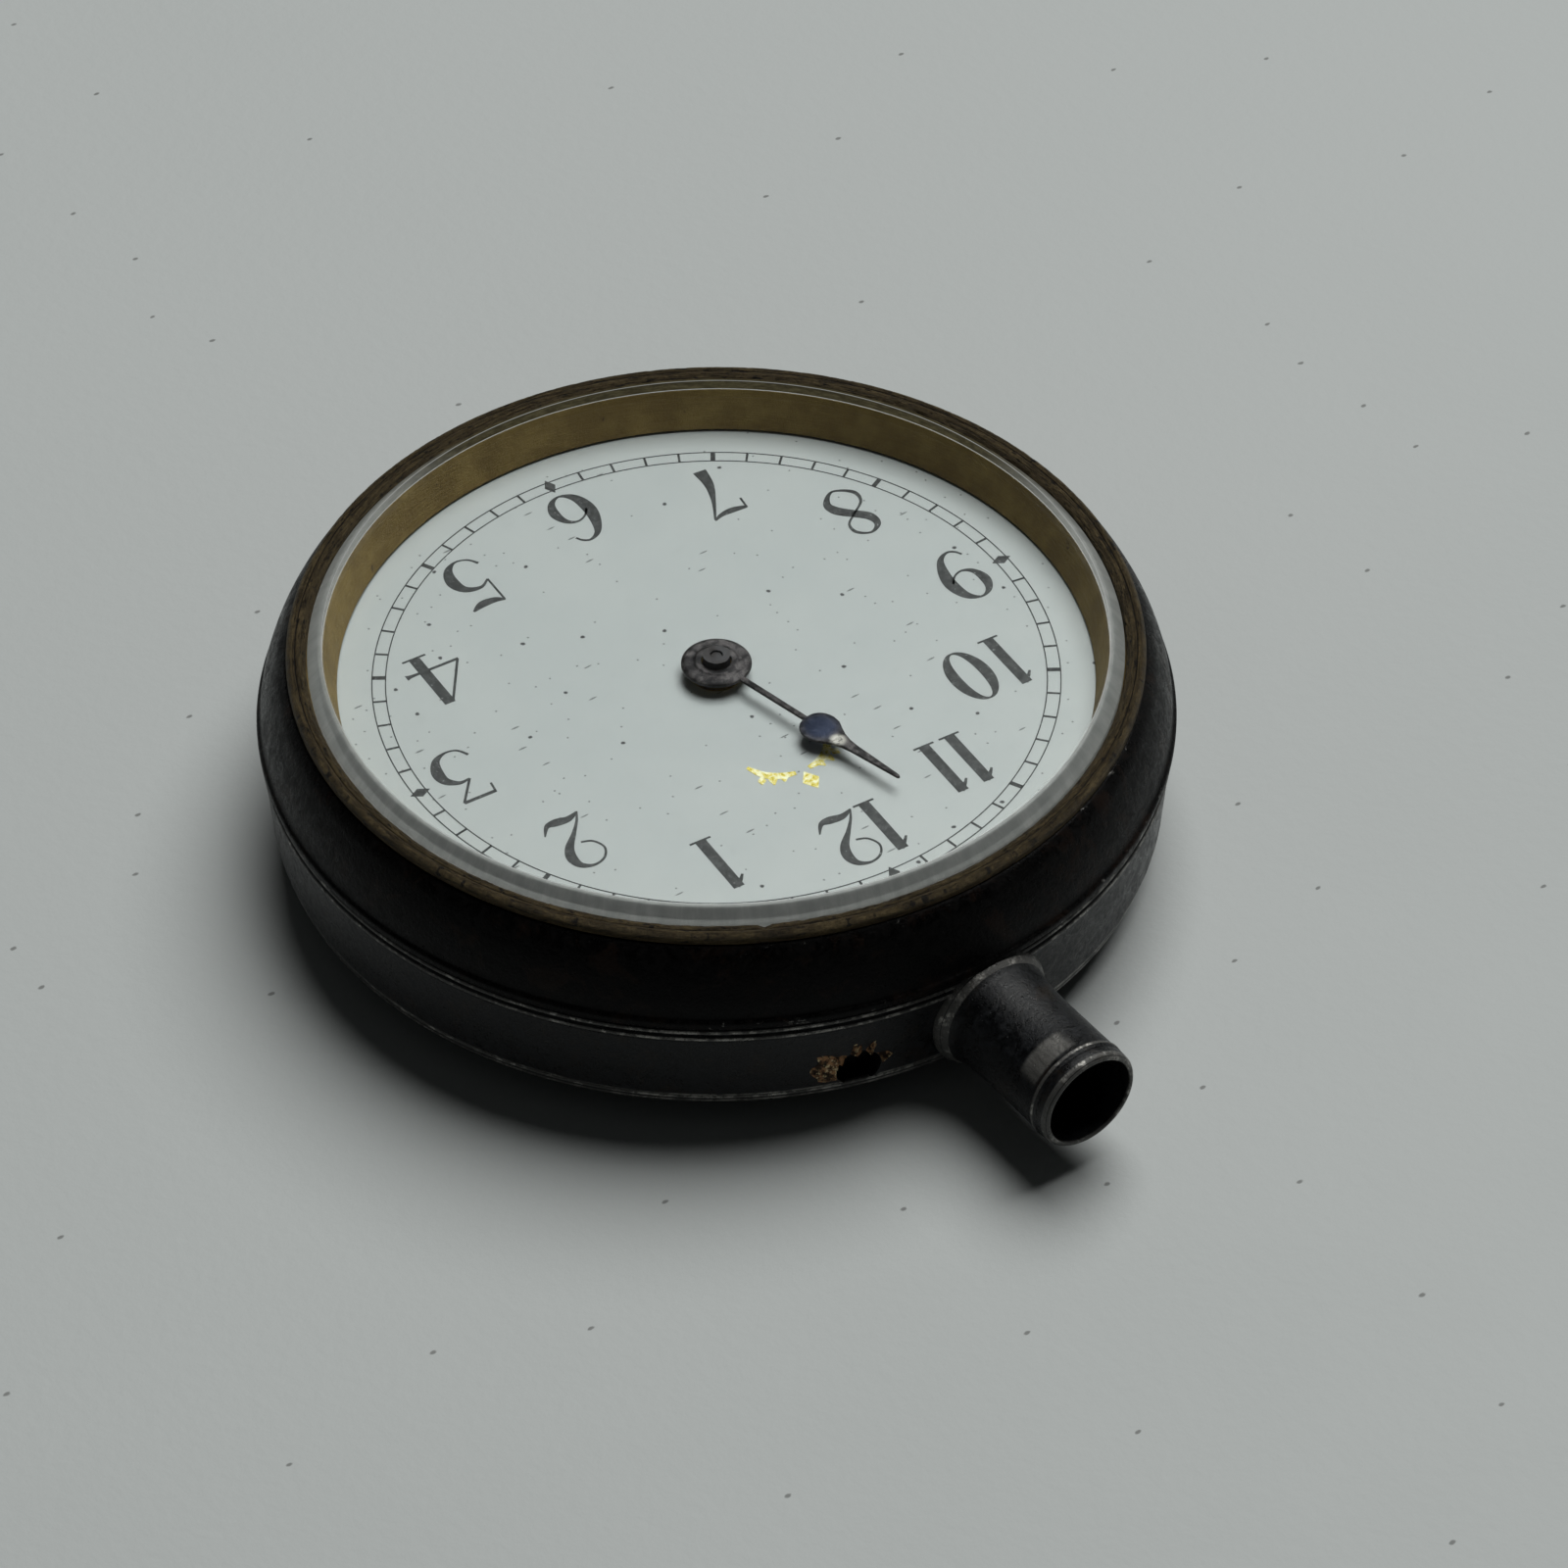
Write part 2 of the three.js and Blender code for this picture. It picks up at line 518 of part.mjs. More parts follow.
add('main_plate', mainPlate(), gilt());
add('barrel_bridge', barrelBridge(), gilt());
add('train_bridge', trainBridge(), gilt());
add('balance_cock', balanceCock(), gilt());
add('pallet_cock', palletCock(), gilt());
const bridgeScrew = screw(BRIDGE.bottom, PLATE.top - BRIDGE.bottom);
BARREL_BRIDGE.screws.forEach((place, i) =>
  add(`barrel_bridge_screw_${i + 1}`, bridgeScrew, bluedSteel(), place, 0.6 * i));
TRAIN_BRIDGE.screws.forEach((place, i) =>
  add(`train_bridge_screw_${i + 1}`, bridgeScrew, bluedSteel(), place, 1 + i));
add('balance_cock_screw', screw(COCK.bottom, PLATE.top - COCK.bottom), bluedSteel(), COCK_FOOT, 0.4);
add('third_jewel', jewel(BRIDGE.bottom + 0.1), ruby(), THIRD);
add('fourth_jewel', jewel(BRIDGE.bottom + 0.1), ruby(), FOURTH);
add('escape_jewel', jewel(BRIDGE.bottom + 0.1), ruby(), ESCAPE);
add('balance_jewel', jewel(COCK.bottom + 0.2), ruby(), BALANCE);

// Barrel and winding work -------------------------------------------------------------
const DRUM = {
  radius: 6.6, bottom: 4.55, teeth: 5.75, top: 6.2, wall: 0.5, floor: 0.35, cover: 0.3,
};
function barrel() {
  const rim = flat(wheelShape(barrelGear, 0), DRUM.teeth, DRUM.top);
  const drum = disc(DRUM.radius, DRUM.bottom, DRUM.top, 40);
  const hollow = disc(DRUM.radius - DRUM.wall, DRUM.bottom - 1, DRUM.top - DRUM.floor, 40);
  return cut(join(rim, drum), hollow, rod(BARREL_ARBOR_HOLE, 0, 8));
}
const CORE = { shoulder: 1.2, radius: 1, bottom: 2.75, step: 3.85, top: 5.75, end: 7.3 };
const barrelCover = () => ring(CORE.radius + RUNNING, DRUM.radius - DRUM.wall - RUNNING,
  DRUM.bottom, DRUM.bottom + DRUM.cover, 40);
const barrelArbor = () => join(rod(BARREL_ARBOR, CORE.bottom, CORE.end),
  rod(CORE.shoulder, CORE.bottom, CORE.step, 16), rod(CORE.radius, CORE.step, CORE.top, 16));
const MAINSPRING = { inner: 1.55, outer: 5.85, turns: 5, thickness: 0.16 };
const HAIRSPRING = { inner: 0.95, outer: 3.5, turns: 4, thickness: 0.08 };

function ratchetWheel() {
  const shape = wheelShape(ratchetGear, 0);
  shape.holes.push(circlePath(BARREL_ARBOR_HOLE));
  return flat(shape, ...LEVEL.winding, 6);
}
function crownWheel() {
  const phase = phaseInMesh(BARREL, ratchetGear, 0, CROWN_WHEEL, crownGear);
  const shape = wheelShape(crownGear, phase);
  shape.holes.push(circlePath(SCREW_HOLE));
  return flat(shape, ...LEVEL.winding, 6);
}
function ratchetScrew() {
  const head = { radius: 1.5, top: 2.15, bottom: 1.75 };
  return cut(join(rod(head.radius, head.bottom, head.top, 16), rod(BARREL_ARBOR, 2.1, 2.72)),
    block(0, 0, 1.7, 4, 0.3, 0.4));
}
const WINDING = { teeth: 14, radius: 1.5, module: 0.2, start: 14.8, length: 1.5 };
const STEM_SQUARE = 0.75;          // bore of the winding pinion and of the clutch
function windingPinion() {
  const shape = pinionShape(WINDING, 0);
  shape.holes.push(circlePath(STEM_SQUARE));
  const settings = { depth: WINDING.length, bevelEnabled: false, curveSegments: 6 };
  const along = layAlongY(new THREE.ExtrudeGeometry(shape, settings));
  return solid(along).translate([0, WINDING.start, PENDANT.axisZ]);
}
function clutchWheel() {
  const spool = new THREE.LatheGeometry([
    [STEM_SQUARE, 12.2], [1.2, 12.2], [1.2, 12.85], [0.9, 12.85], [0.9, 13.45], [1.2, 13.45],
    [1.2, 14.2], [STEM_SQUARE, 14.2], [STEM_SQUARE, 12.2],
  ].map(([radius, y]) => new THREE.Vector2(radius, y)), 16);
  return solid(spool).translate([0, 0, PENDANT.axisZ]);
}
function settingYoke() {
  const [bottom, top] = LEVEL.yoke;
  const tip = { x: 1.3, y: 13.15 };
  const arm = flat(capsule(YOKE, tip, 0.7, 0.2), bottom, top);
  const nose = block(1.15, tip.y, (bottom + top) / 2, 0.34, 0.36, top - bottom);
  const post = at(rod(0.4, bottom, PLATE.bottom - 0.1), YOKE);
  return join(arm, nose, post).translate([-YOKE.x, -YOKE.y, 0]);
}
function click() {
  const body = flat(circleShape(0.95), ...LEVEL.winding);
  const beakTip = { x: 1.2, y: 2.35 };
  const beak = flat(capsule({ x: 0, y: 0 }, beakTip, 0.75, 0.16), ...LEVEL.winding, 6);
  const tail = flat(capsule({ x: 0, y: 0 }, { x: -0.4, y: -2 }, 0.7, 0.3), ...LEVEL.winding, 6);
  return cut(join(body, beak, tail), rod(SCREW_HOLE, 1, 4));
}
function circleShape(radius) {
  const shape = new THREE.Shape();
  shape.absarc(0, 0, radius, 0, TAU, false);
  return shape;
}
function clickSpring() {
  const [bottom, top] = LEVEL.clickSpring;
  const strip = sector(14.2, 14.45, 168, 196);
  const foot = flat(capsule(polar(14.3, 196), polar(14.3, 201), 0.6, 0.6), bottom, BRIDGE.bottom, 6);
  return join(flat(strip, bottom, top, 5), foot);
}

add('barrel', barrel(), brass(), BARREL);
add('barrel_cover', barrelCover(), brass(), BARREL);
add('mainspring', spiral(MAINSPRING, ...LEVEL.mainspring, 12), bluedSteel(), BARREL);
add('barrel_arbor', barrelArbor(), steel(), BARREL);
add('ratchet_wheel', ratchetWheel(), steel(), BARREL);
add('ratchet_screw', ratchetScrew(), bluedSteel(), BARREL, 0.7);
add('crown_wheel', crownWheel(), steel(), CROWN_WHEEL);
add('crown_wheel_screw', screw(2.15, 1.6), bluedSteel(), CROWN_WHEEL, 1.1);
add('winding_pinion', windingPinion(), steel());
add('clutch_wheel', clutchWheel(), steel());
add('setting_yoke', settingYoke(), steel(), YOKE);
add('click', click(), steel(), CLICK);
add('click_screw', screw(2.15, 1.6), bluedSteel(), CLICK, 0.2);
add('click_spring', clickSpring(), bluedSteel());

// Going train ----------------------------------------------------------------------------
const ARBOR = 0.4;
const HUB_PLAY = 0.09;         // a wheel's bore is a coarse polygon round its arbor
const PIVOT = PIVOT_HOLE - RUNNING;
const wheelWindow = (gear) => ({
  hub: 1.3, rim: gear.radius - 0.75, bore: ARBOR + HUB_PLAY, spoke: 0.6,
});
const trainPivots = { radius: PIVOT, bottom: 3.1, top: 7.2 };

function centrePinion() {
  const phase = phaseInMesh(BARREL, barrelGear, 0, CENTRE, centrePinionGear);
  return join(
    flat(pinionShape(centrePinionGear, phase), ...LEVEL.centreLeaves),
    rod(ARBOR, 3.9, 7.35), rod(PIVOT, 3.1, 4), rod(0.3, 7.3, 10.7));
}
const thirdPinion = () => pinionArbor(thirdPinionGear,
  phaseInMesh(CENTRE, centreGear, 0, THIRD, thirdPinionGear), LEVEL.thirdLeaves,
  { radius: ARBOR, bottom: 3.9, top: 6.3 }, trainPivots);
const fourthPinion = () => pinionArbor(fourthPinionGear,
  phaseInMesh(THIRD, thirdGear, 0, FOURTH, fourthPinionGear), LEVEL.fourthLeaves,
  { radius: ARBOR, bottom: 3.95, top: 6.35 }, trainPivots);
const escapePinion = () => pinionArbor(escapePinionGear,
  phaseInMesh(FOURTH, fourthGear, 0, ESCAPE, escapePinionGear), LEVEL.escapeLeaves,
  { radius: 0.3, bottom: 3.95, top: 6.35 }, { ...trainPivots, radius: 0.22 });

add('centre_pinion', centrePinion(), steel());
add('centre_wheel', spokedWheel(centreGear, 0, ...LEVEL.centreWheel, wheelWindow(centreGear)), brass());
add('third_pinion', thirdPinion(), steel(), THIRD);
add('third_wheel', spokedWheel(thirdGear, 0, ...LEVEL.thirdWheel, wheelWindow(thirdGear)), brass(), THIRD);
add('fourth_pinion', fourthPinion(), steel(), FOURTH);
add('fourth_wheel', spokedWheel(fourthGear, 0, ...LEVEL.fourthWheel, wheelWindow(fourthGear)), brass(), FOURTH);

// Escapement -------------------------------------------------------------------------------
const ESCAPE_TEETH = 15;
const ESCAPE_RADIUS = 3.75;
const ESCAPE_ROOT = 2.95;
const ESCAPE_ARBOR = 0.3;
function escapeWheel() {
  const points = [];
  const escapeTooth = [
    [ESCAPE_ROOT, 0], [ESCAPE_RADIUS, 0.12], [ESCAPE_RADIUS, 0.2], [ESCAPE_ROOT, 0.1],
  ];
  for (let tooth = 0; tooth < ESCAPE_TEETH; tooth += 1) {
    const start = tooth * TAU / ESCAPE_TEETH;
    for (const [radius, turn] of escapeTooth) {
      points.push([radius * Math.cos(start + turn), radius * Math.sin(start + turn)]);
    }
  }
  const shape = outlineOf(points);
  spokeWindows(shape, 4, 1, 2.45, 0.45);
  shape.holes.push(circlePath(ESCAPE_ARBOR + HUB_PLAY));
  return flat(shape, ...LEVEL.escapement, 3);
}
function palletFork() {
  const half = [[0.5, 0.3], [0.15, 1.2], [-0.3, 2.5], [-0.9, 2.7], [-0.8, 2.1], [-0.4, 1.1]];
  const anchor = outlineOf([...half, ...half.map(([x, y]) => [x, -y]).reverse()]);
  const lever = outlineOf([[0, 0.25], [0, -0.25], [3.1, -0.2], [3.35, -0.5], [3.75, -0.5],
    [3.75, -0.2], [3.35, -0.15], [3.35, 0.15], [3.75, 0.2], [3.75, 0.5], [3.35, 0.5], [3.1, 0.2]]);
  return join(flat(anchor, ...LEVEL.escapement), flat(lever, ...LEVEL.escapement),
    rod(0.55, 5.25, 5.6), rod(PIVOT, 4.75, 7.1));
}
const BALANCE_RIM = { inner: 5.55, outer: 6.2 };
function balanceWheel() {
  const shape = circleShape(BALANCE_RIM.outer);
  spokeWindows(shape, 2, 1, BALANCE_RIM.inner, 0.8);
  shape.holes.push(circlePath(ARBOR + HUB_PLAY));
  return flat(shape, ...LEVEL.balanceRim, 12);
}
function balanceStaff() {
  return join(rod(ARBOR, 3.4, 6.2), rod(PIVOT, 2.25, 7.2), disc(1.2, ...LEVEL.roller, 24),
    at(rod(0.14, 5.1, 5.6), { x: 1, y: 0 }), rod(0.6, 3.1, 3.45));
}
function regulator() {
  const lever = flat(capsule({ x: 0, y: 0 }, { x: 4.4, y: 0 }, 1.7, 0.25), ...LEVEL.regulator);
  return cut(lever, rod(1 + RUNNING, 1, 3, 24));
}

add('escape_pinion', escapePinion(), steel(), ESCAPE);
add('escape_wheel', escapeWheel(), steel(), ESCAPE);
add('pallet_fork', palletFork(), steel(), PALLET, LEVER_ANGLE);
add('balance_staff', balanceStaff(), steel(), BALANCE, LEVER_ANGLE + Math.PI);
add('balance_wheel', balanceWheel(), brass(), BALANCE, LEVER_ANGLE + Math.PI / 2);
add('hairspring', spiral(HAIRSPRING, ...LEVEL.hairspring, 14), bluedSteel(), BALANCE, LEVER_ANGLE);
add('regulator', regulator(), steel(), BALANCE, THREE.MathUtils.degToRad(-100));
add('cap_jewel_plate', disc(1, ...LEVEL.capPlate, 24), steel(), BALANCE);

// Motion work, dial and hand ------------------------------------------------------------------
const PIPE = {
  cannonBore: 0.35, cannon: 0.72, cannonEnd: 10.8, hourBore: 0.78, hour: 1.02, hourEnd: 10.3,
};
function cannonPinion() {
  const [bottom, top] = LEVEL.cannonLeaves;
  const leaves = flat(pinionShape(cannonGear, 0), bottom, top);
  return cut(join(leaves, rod(PIPE.cannon, bottom, PIPE.cannonEnd, 24)),
    rod(PIPE.cannonBore, 7, 12));
}
const minutePhase = phaseInMesh(CENTRE, cannonGear, 0, MINUTE, minuteGear);
function minuteWheel() {
  return cut(join(flat(wheelShape(minuteGear, minutePhase), ...LEVEL.motionWork),
    flat(pinionShape(minutePinionGear, 0), ...LEVEL.minuteLeaves)), rod(0.35, 7, 9));
}
function hourWheel() {
  const phase = phaseInMesh(MINUTE, minutePinionGear, 0, CENTRE, hourGear);
  const [bottom, top] = LEVEL.hourWheel;
  const teeth = flat(wheelShape(hourGear, phase), bottom, top);
  return cut(join(teeth, rod(PIPE.hour, bottom, PIPE.hourEnd, 24)),
    rod(PIPE.hourBore, 7, 12, 24));
}
function settingWheel() {
  const shape = wheelShape(settingGear,
    phaseInMesh(MINUTE, minuteGear, minutePhase, SETTING, settingGear));
  shape.holes.push(circlePath(0.55));
  return flat(shape, ...LEVEL.motionWork, 6);
}
function hourHand() {
  const bulb = 7.35;
  const tip = 13.2;
  const shape = new THREE.Shape();
  shape.moveTo(-0.16, 0);
  shape.lineTo(-0.15, bulb - 1);
  shape.bezierCurveTo(-0.55, bulb - 1, -1.08, bulb - 0.6, -1.06, bulb + 0.1);
  shape.bezierCurveTo(-1.02, bulb + 0.9, -0.42, bulb + 1.4, -0.3, bulb + 2.1);
  shape.lineTo(-0.1, tip);
  shape.lineTo(0.1, tip);
  shape.lineTo(0.3, bulb + 2.1);
  shape.bezierCurveTo(0.42, bulb + 1.4, 1.02, bulb + 0.9, 1.06, bulb + 0.1);
  shape.bezierCurveTo(1.08, bulb - 0.6, 0.55, bulb - 1, 0.15, bulb - 1);
  shape.lineTo(0.16, 0);
  shape.closePath();
  const hub = disc(1.85, ...LEVEL.hand, 24);
  return cut(join(flat(shape, ...LEVEL.hand, 6), hub), rod(PIPE.hour + 0.02, 9, 12, 24));
}
function dial() {
  const face = turned([
    [DIAL.hole, DIAL.bottom], [DIAL.radius, DIAL.bottom], [DIAL.radius, DIAL.top - 0.2],
    [DIAL.radius - 0.5, DIAL.top], [DIAL.hole, DIAL.top],
  ]);
  const turn = -THREE.MathUtils.radToDeg(DIAL_TURN);
  const feet = DIAL_FEET.map((place) => at(rod(DIAL_FOOT, 6.8, DIAL.bottom + 0.1), place).rotate([0, 0, turn]));
  return join(face, ...feet);
}

add('cannon_pinion', cannonPinion(), steel());
add('minute_wheel', minuteWheel(), brass(), MINUTE);
add('hour_wheel', hourWheel(), brass());
add('setting_wheel', settingWheel(), steel(), SETTING);
add('dial', dial(), enamel(), CENTRE, DIAL_TURN);
add('hour_hand', hourHand(), blackSteel(), CENTRE, HAND_TURN);

export default watch;
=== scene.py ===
import json
import random
from math import atan2, cos, degrees, pi, radians, sin, sqrt

import bmesh
import bpy
from mathutils import Matrix, Vector, noise

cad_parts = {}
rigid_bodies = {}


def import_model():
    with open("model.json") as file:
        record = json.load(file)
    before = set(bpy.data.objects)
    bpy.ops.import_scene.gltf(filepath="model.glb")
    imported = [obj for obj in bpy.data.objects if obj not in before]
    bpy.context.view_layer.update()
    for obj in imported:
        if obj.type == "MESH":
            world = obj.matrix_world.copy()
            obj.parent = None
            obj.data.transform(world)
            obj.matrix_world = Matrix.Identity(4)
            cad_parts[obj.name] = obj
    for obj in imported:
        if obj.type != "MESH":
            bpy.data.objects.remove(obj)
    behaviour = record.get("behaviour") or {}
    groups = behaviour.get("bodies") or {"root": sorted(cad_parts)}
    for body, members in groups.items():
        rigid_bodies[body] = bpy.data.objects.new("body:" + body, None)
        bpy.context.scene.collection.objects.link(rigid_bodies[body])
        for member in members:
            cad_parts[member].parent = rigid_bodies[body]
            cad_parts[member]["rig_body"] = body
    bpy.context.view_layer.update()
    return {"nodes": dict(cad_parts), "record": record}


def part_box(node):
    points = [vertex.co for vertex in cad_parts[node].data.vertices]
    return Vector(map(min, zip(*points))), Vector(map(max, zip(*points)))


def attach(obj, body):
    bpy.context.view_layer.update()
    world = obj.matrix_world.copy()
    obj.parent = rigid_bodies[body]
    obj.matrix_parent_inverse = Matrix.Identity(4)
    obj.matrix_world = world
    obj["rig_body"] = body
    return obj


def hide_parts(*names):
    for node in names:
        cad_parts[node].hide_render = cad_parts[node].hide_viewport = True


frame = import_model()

MM = 0.001
TAU = 2 * pi
ROUND = 288              # stations round a large turned piece
SHARP = 32               # degrees between two faces that meet in a sharp edge


def box_mm(node):
    low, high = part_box(node)
    return low / MM, high / MM


def tune(thing, **settings):
    for key, value in settings.items():
        setattr(thing, key, value)
    return thing


# ---- Places taken from the frame ----
BEZEL_LOW, BEZEL_HIGH = box_mm("bezel")
RING_LOW, RING_HIGH = box_mm("crystal_ring")
GLASS_LOW, GLASS_HIGH = box_mm("crystal")
DIAL_HIGH = box_mm("dial")[1]
BAND_RADIUS = box_mm("mid_case")[1].x
TUBE_LOW, TUBE_HIGH = box_mm("pendant_tube")
HAND_LOW, HAND_HIGH = box_mm("hour_hand")
PLATE_LOW, PLATE_HIGH = box_mm("main_plate")
PIN_LOW, PIN_HIGH = box_mm("hinge_pin")

SEAM = BEZEL_LOW.z - 0.05            # where the band meets the bezel
BAND_FOOT = SEAM - 5                 # where the band meets the back
TUBE_AXIS = (TUBE_LOW.z + TUBE_HIGH.z) / 2
HINGE = (PIN_LOW + PIN_HIGH) / 2
HINGE_RADIUS = 0.75
HINGE_SPLIT = 1.9                    # the back's knuckle reaches this far each way
BACK_FOOT = 10                       # radius of the flat that the watch lies on
DIAL_TURN = radians(-4.8)            # the dial is fitted slightly off the pendant
HAND_TURN = radians(11.2)
PIN_HOLE = {"radius": 1.2, "height": 3.6, "turn": radians(-18)}
STEM_BORE = 1.5
LIP_WALL = (11.75, 12.1)             # the gilding on the lip's wall gives way between these heights
RUB = (29.2, 29.5, 30.65, 30.45)     # the rub beside the tube fades in, then out, going outwards
NOTCH = radians(61)                  # where a piece of the brass lip has broken out

CAMERA = {"aim": (2.05, 8.83, 9.9), "distance": 325.9, "azimuth": 54.11,
          "elevation": 42.87, "lens": 146.25}

# ---- Mesh building ----
BEND_STEPS = 4
GUARD = 0.12             # a station this far outside a rounding keeps the faces flat
SHARP_REACH = 0.2        # corners rounded by no more than this wear bright


def quadratic(start, control, end, t):
    return Vector(start) * (1 - t) ** 2 + Vector(control) * 2 * t * (1 - t) + Vector(end) * t ** 2


def rounded(outline):
    """Stations (radius, height, edge) round a closed, counterclockwise outline.

    A corner's third number is how far from it the rounding starts. edge is 1
    on a sharp outer corner, -1 in a sharp inner one and 0 elsewhere.
    """
    stations = []
    for i, corner in enumerate(outline):
        here = Vector(corner[:2])
        if len(corner) < 3:
            stations.append((*here, 0.0))
            continue
        before, after = [Vector(outline[k % len(outline)][:2]) - here for k in (i - 1, i + 1)]
        outer = after.x * before.y > after.y * before.x
        edge = 0.0 if corner[2] > SHARP_REACH else 1.0 if outer else -1.0
        reach = min(corner[2], 0.45 * before.length, 0.45 * after.length)
        start, end = [here + side.normalized() * reach for side in (before, after)]
        first, last = [here + side.normalized() * min(reach + GUARD, 0.49 * side.length)
                       for side in (before, after)]
        bend = [(*quadratic(start, here, end, k / BEND_STEPS), edge) for k in range(BEND_STEPS + 1)]
        stations += [(*first, 0.0), *bend, (*last, 0.0)]
    return stations


def turned(outline, segments=ROUND, warp=None):
    """A bmesh of an outline turned about Z. warp moves (radius, height, angle)."""
    stations = rounded(outline)
    made = bmesh.new()
    layer = made.verts.layers.float.new("edge")
    rings = []
    for k in range(segments):
        angle = k * TAU / segments
        ring = []
        for radius, height, edge in stations:
            if warp:
                radius, height = warp(radius, height, angle)
            vert = made.verts.new((radius * cos(angle), radius * sin(angle), height))
            vert[layer] = edge
            ring.append(vert)
        rings.append(ring)
    for here, there in zip(rings, rings[1:] + rings[:1]):
        for i, station in enumerate(stations):
            j = (i + 1) % len(stations)
            if station[0] or stations[j][0]:
                made.faces.new((here[i], there[i], there[j], here[j]))
    return made


def spin(angle, axis="Z"):
    return Matrix.Rotation(angle, 4, axis)


def shift(x, y, z):
    return Matrix.Translation((x, y, z))


def move(made, matrix):
    bmesh.ops.transform(made, matrix=matrix, verts=made.verts)
    return made


def along_y(made, height):
    return move(made, shift(0, 0, height) @ spin(-pi / 2, "X"))


def slab(low, high, bevel=0.06):
    made = bmesh.new()
    low, high = Vector(low), Vector(high)
    bmesh.ops.create_cube(made, size=1)
    move(made, Matrix.Translation((high + low) / 2) @ Matrix.Diagonal((*(high - low), 1)))
    bmesh.ops.bevel(made, geom=made.edges[:], offset=bevel, segments=3, affect="EDGES", profile=0.5)
    return made


def merged(*parts):
    whole = bmesh.new()
    whole.verts.layers.float.new("edge")
    for part in parts:
        held = bpy.data.meshes.new("held")
        part.to_mesh(held)
        whole.from_mesh(held)
        bpy.data.meshes.remove(held)
        part.free()
    return whole


def placed(name, data):
    """A new object in the scene."""
    made = bpy.data.objects.new(name, data)
    bpy.context.scene.collection.objects.link(made)
    return made


def shown_mesh(piece):
    """A piece's mesh as its modifiers or its curve settings leave it."""
    bpy.context.view_layer.update()
    shown = piece.evaluated_get(bpy.context.evaluated_depsgraph_get())
    return bpy.data.meshes.new_from_object(shown)


def shade(mesh, sharp):
    mesh.shade_smooth()
    mesh.set_sharp_from_angle(angle=radians(sharp))


def to_object(name, made, sharp=SHARP):
    bmesh.ops.remove_doubles(made, verts=made.verts, dist=1e-5)
    bmesh.ops.recalc_face_normals(made, faces=made.faces)
    move(made, Matrix.Scale(MM, 4))
    mesh = bpy.data.meshes.new(name)
    made.to_mesh(mesh)
    made.free()
    shade(mesh, sharp)
    return placed(name, mesh)


def fit(piece, body, material):
    """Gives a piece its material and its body."""
    piece.data.materials.clear()
    piece.data.materials.append(material)
    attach(piece, body)


def stand_in(piece, node, material=None):
    """Fits a piece in place of a node, on its body and in its slot."""
    slot = SLOT_OF[node]
    fit(piece, frame["nodes"][node]["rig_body"], material or FINISHES[slot])
    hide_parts(node)


def carve(piece, *cutters):
    """Cuts the cutters out of a piece and applies the cuts."""
    for cutter in cutters:
        tune(piece.modifiers.new("cut", "BOOLEAN"), object=cutter, operation="DIFFERENCE", solver="EXACT")
    mesh = shown_mesh(piece)
    piece.modifiers.clear()
    piece.data = mesh
    shade(mesh, SHARP)
    for cutter in cutters:
        bpy.data.objects.remove(cutter)
    return piece


def plate(loops, bottom, top, bevel=0.04):
    """A bmesh of flat outlines, holes included, with bevelled rims."""
    curve = tune(bpy.data.curves.new("plate", "CURVE"), dimensions="2D", fill_mode="BOTH",
                 extrude=(top - bottom) / 2 - bevel, bevel_depth=bevel, bevel_resolution=1, offset=-bevel)
    for loop in loops:
        spline = curve.splines.new("POLY")
        spline.points.add(len(loop) - 1)
        for point, (x, y) in zip(spline.points, loop):
            point.co = (x, y, 0, 1)
        spline.use_cyclic_u = True
    holder = placed("plate", curve)
    mesh = shown_mesh(holder)
    made = bmesh.new()
    made.from_mesh(mesh)
    bpy.data.objects.remove(holder)
    bpy.data.curves.remove(curve)
    bpy.data.meshes.remove(mesh)
    return move(made, shift(0, 0, (top + bottom) / 2))


def polar(around, radius, angle):
    """The point at an angle, in degrees, from a centre."""
    turn = radians(angle)
    return around[0] + radius * cos(turn), around[1] + radius * sin(turn)


def arc(x, y, radius, start, end, steps):
    return [polar((x, y), radius, start + (end - start) * i / steps) for i in range(steps + 1)]


def circle(x, y, radius, steps=64):
    return arc(x, y, radius, 0, 360, steps)[:-1]


def ripple(around, angle, height, scale):
    """Smooth noise between about -1 and 1 on a circle of radius around."""
    return noise.noise(Vector((around * cos(angle), around * sin(angle), height)) * scale)


